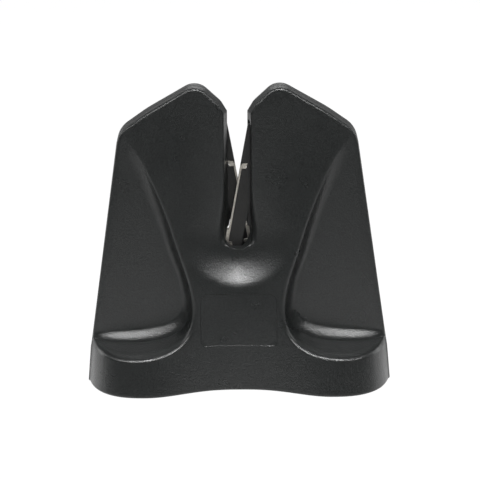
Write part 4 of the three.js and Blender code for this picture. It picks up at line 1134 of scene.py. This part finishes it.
def foot_profile(radius, low, high):
    """Profile of a disc whose lower edge is a quarter round and whose underside has one shallow groove,
    which is a squared sine of the share of its width."""
    turn = np.linspace(0, math.pi / 2, FOOT_ARC)
    arc_r, arc_z = radius - FOOT_EDGE + FOOT_EDGE * np.sin(turn), low + FOOT_EDGE - FOOT_EDGE * np.cos(turn)
    wave = np.linspace(0, 1, GROOVE_STEPS)
    groove_r = lerp(GROOVE_START, GROOVE_END, wave) * radius
    groove_z = low + GROOVE_DEPTH * np.sin(math.pi * wave) ** 2
    return [(0, low), *zip(groove_r, groove_z), *zip(arc_r, arc_z),
            (radius, high - FOOT_BEVEL), (radius - FOOT_BEVEL, high), (0, high)]


for k in range(1, 5):
    low, high = (np.array(v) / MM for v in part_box(f"foot_{k}"))
    x, y = (low[:2] + high[:2]) / 2
    surface = lathe(foot_profile((high[0] - low[0]) / 2, low[2], high[2]), (x, y, 0), "z", FOOT_SIDES)
    foot = make_piece(f"foot_{k}_rubber", *surface, sharp=FOOT_SHARP, join=TOOL_JOIN)
    foot.data.materials.append(rubber)
    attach(foot, "housing")
    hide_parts(f"foot_{k}")

# %% [markdown]
# Each arm comes to rest against a rubber stop ring, rounded all over like a small tyre. A torus is too
# round for it: a ring whose section is a squared circle lies flat on its peg.

# %% Stop rings
STOP_BORE, STOP_STEPS, STOP_POWER = 1.4, 33, 0.6


def squared(wave):
    """A sine or cosine raised to a power with its sign kept, which squares a circle."""
    return np.sign(wave) * np.abs(wave) ** STOP_POWER


for side in ("front", "rear"):
    low, high = (np.array(v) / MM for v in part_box(f"{side}_stop_bumper"))
    middle, radius = (low + high) / 2, (high[0] - low[0]) / 2
    wide = (high[1] - low[1]) / 2
    turn = np.linspace(0, 2 * math.pi, STOP_STEPS)
    round_r = (radius + STOP_BORE) / 2 + (radius - STOP_BORE) / 2 * squared(np.cos(turn))
    round_y = wide * squared(np.sin(turn))
    surface = lathe(np.stack([round_r, round_y], 1), middle, "y")
    ring = make_piece(f"{side}_stop_ring", *surface, join=TOOL_JOIN)
    ring.data.materials.append(rubber)
    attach(ring, "housing")
    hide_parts(f"{side}_stop_bumper")

# %% [markdown]
# Each arm is pulled against its stop by a small extension spring: a wound coil of wire with an open eye
# at each end. A curve with a round bevel could draw it; the wire is swept along a path here, so that the
# mesh is closed and even. Its rings are kept from twisting by taking the twist of a plain frame out again.

# %% Path of the spring wire
COIL_RADIUS, COIL_PITCH, COIL_TURNS = 1.9, 1.2, 11
EYE_HALF_TURNS, PATH_STEPS, PATH_POINTS = 1.5, 1500, 760
SOFT_WEIGHTS = (1, 4, 6, 4, 1)


def spring_line():
    """Centre line: three quarters of a circle for an eye, a straight lead, a helix, a lead and an eye again.
    A short moving average rounds the bends between them."""
    r, coil = COIL_RADIUS, COIL_TURNS * COIL_PITCH
    t = np.linspace(0, 1, PATH_STEPS)[:, None]
    bend = math.pi / 2 + (1 - t) * EYE_HALF_TURNS * math.pi
    eye = np.hstack([r * np.cos(bend), 0 * t, r * np.sin(bend)])
    lead = np.hstack([t * r, 0 * t, r + 0 * t])
    turn = t * COIL_TURNS * 2 * math.pi
    helix = np.hstack([r + t * coil, r * np.sin(turn), r * np.cos(turn)])
    far = np.array([2 * r + coil, 0, 0])
    far_lead, far_eye = far * [1, 0, 0] + lead[::-1] * [-1, 1, 1], eye[::-1] * [-1, 1, 1] + far
    path = np.vstack([eye[:-1], lead[:-1], helix[:-1], far_lead[:-1], far_eye])
    along = np.concatenate([[0], np.cumsum(np.linalg.norm(np.diff(path, axis=0), axis=1))])
    even = np.linspace(0, along[-1], PATH_POINTS)
    path = np.stack([np.interp(even, along, path[:, k]) for k in range(3)], 1)
    soft = np.array(SOFT_WEIGHTS) / sum(SOFT_WEIGHTS)
    smooth = np.stack([np.convolve(np.pad(path[:, k], 2, mode="edge"), soft, "valid") for k in range(3)], 1)
    smooth[[0, -1]] = path[[0, -1]]
    return smooth


wire_path = spring_line()
print("wire of", round(float(np.linalg.norm(np.diff(wire_path, axis=0), axis=1).sum()), 1), "mm")

# %% [markdown]
# The finished wire is hooked on a peg of the arm at one end and on a post of the housing at the other, so
# the real spring stretches when the arm swings. Here the wire is laid once at the peg, at rest.

# %% Springs
WIRE_RADIUS, WIRE_SIDES, SPRING_PLANE, PEG_DOWN, EYE_REACH, WIRE_JOIN = 0.35, 14, 7.3, 20.0, 2.5, 0.0005


def sweep(path, radius):
    """A round tube along a path: at each point a plain frame across the path, turned back by the sum of the
    twists between neighbours, so that the rings follow without twisting; closed by a point at each end."""
    tangent = np.gradient(path, axis=0)
    tangent /= np.linalg.norm(tangent, axis=1)[:, None]
    plain = np.eye(3)[np.argmin(np.abs(tangent), axis=1)]
    n = np.cross(tangent, plain)
    n /= np.linalg.norm(n, axis=1)[:, None]
    b = np.cross(tangent, n)
    cross, dot = np.cross(tangent[:-1], tangent[1:]), (tangent[:-1] * tangent[1:]).sum(1)[:, None]
    carried = n[:-1] * dot + np.cross(cross, n[:-1]) + cross * (cross * n[:-1]).sum(1)[:, None] / (1 + dot)
    twist = np.arctan2((carried * b[1:]).sum(1), (carried * n[1:]).sum(1))
    back = np.concatenate([[0], np.cumsum(twist)])[:, None]
    u = n * np.cos(back) + b * np.sin(back)
    v = np.cross(tangent, u)
    turn = np.linspace(0, 2 * math.pi, WIRE_SIDES, endpoint=False)[None, :, None]
    rings = path[:, None] + radius * (u[:, None] * np.cos(turn) + v[:, None] * np.sin(turn))
    ends = [np.repeat(path[k][None, None], WIRE_SIDES, 1) for k in (0, -1)]
    rings = np.concatenate([ends[0], rings, ends[1]])
    return rings.reshape(-1, 3), wrapped_quads(*rings.shape[:2])


peg_x, peg_z = PIVOT_X - PEG_DOWN * math.sin(ARM_TILT), PIVOT_Z - PEG_DOWN * math.cos(ARM_TILT)
peg = np.array([peg_x, -SPRING_PLANE, peg_z])
points, quads = sweep(wire_path, WIRE_RADIUS)
for side, turn in (("front", 1), ("rear", -1)):
    piece = make_piece(f"{side}_spring_wire", (points + peg) * [turn, turn, 1], quads, join=WIRE_JOIN)
    piece.data.materials.append(wire)
    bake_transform(piece)
    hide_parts(f"{side}_spring")
    print(piece.name, "of", len(piece.data.vertices), "vertices from", np.round(points.min(0) + peg, 2))

# %% [markdown]
# The honing strips are what the blade touches: a flat strip along each arm's inner edge, held by ears that
# fold over the arm at the top, and by a springy heel and a hook at the foot. Bending one flat sheet would
# be truer to how they are pressed, but needs its folds worked out; a few flat plates cut to an outline and
# joined by booleans look the same and make one closed body.

# %% Honing strips
ARM_FRONT, ARM_BACK = -ARM_SPACING / 2 - ARM_THICKNESS, -ARM_SPACING / 2
STRIP_FRONT, STRIP_BACK, EAR, EAR_GAP, HEEL_BULGE = -4.0, -0.8, 0.25, 0.01, 0.3
STRIP_LEFT, STRIP_RIGHT, STRIP_FOOT, STRIP_TOP, LUG = -3.95, -3.2, 18.5, 56.5, 0.75
TOP_LUG_RIGHT, FOOT_LUG_RIGHT = -1.5, -1.2
EAR_OUTLINE = [(-3.5, 55.2), (-1.4, 55.3), (-1.15, 57.0), (-0.95, 58.1), (-1.6, 57.9), (-3.5, 57.4)]
HEEL_OUTLINE = [(-4.5, 19.2), (-3.8, 19.2), (-3.8, 25.2), (-4.4, 25.6), (-4.7, 25.2), (-4.7, 20.0)]
HOOK_OUTLINE = [(-4.3, 20.3), (-3.6, 20.3), (-2.9, 19.2), (-1.5, 19.1), (-1.8, 16.8), (-2.5, 17.0),
                (-3.6, 18.4), (-4.3, 19.2)]


def strip_outline(right, low, high):
    """A rectangle of [across, along] from the strip's left edge to a place on its right."""
    return [(STRIP_LEFT, low), (right, low), (right, high), (STRIP_LEFT, high)]


strip_bar = plate(strip_outline(STRIP_RIGHT, STRIP_FOOT, STRIP_TOP), STRIP_FRONT, STRIP_BACK)
strip_folds = [
    plate(strip_outline(TOP_LUG_RIGHT, STRIP_TOP - LUG, STRIP_TOP), ARM_FRONT - EAR, ARM_BACK + EAR),
    plate(strip_outline(FOOT_LUG_RIGHT, STRIP_FOOT, STRIP_FOOT + LUG), ARM_FRONT - EAR, STRIP_BACK),
    plate(EAR_OUTLINE, ARM_FRONT - EAR, ARM_FRONT - EAR_GAP),
    plate(EAR_OUTLINE, ARM_BACK + EAR_GAP, ARM_BACK + EAR),
    plate(HEEL_OUTLINE, STRIP_FRONT - HEEL_BULGE, STRIP_BACK),
    plate(HOOK_OUTLINE, ARM_FRONT - EAR, ARM_FRONT - EAR_GAP),
]
for side, turn in (("front", 1), ("rear", -1)):
    piece = make_piece(f"{side}_honing_plate", *strip_bar, join=TOOL_JOIN)
    apply_changes(piece, *[("UNION", [fold]) for fold in strip_folds])
    piece.data.transform(Matrix.Diagonal((turn, turn, 1, 1)))
    piece.data.shade_flat()
    piece.data.materials.clear()
    piece.data.materials.append(grit)
    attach(piece, f"{side}_swing")
    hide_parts(f"{side}_honing_strip")
    print(piece.name, "has", len(piece.data.polygons), "faces")
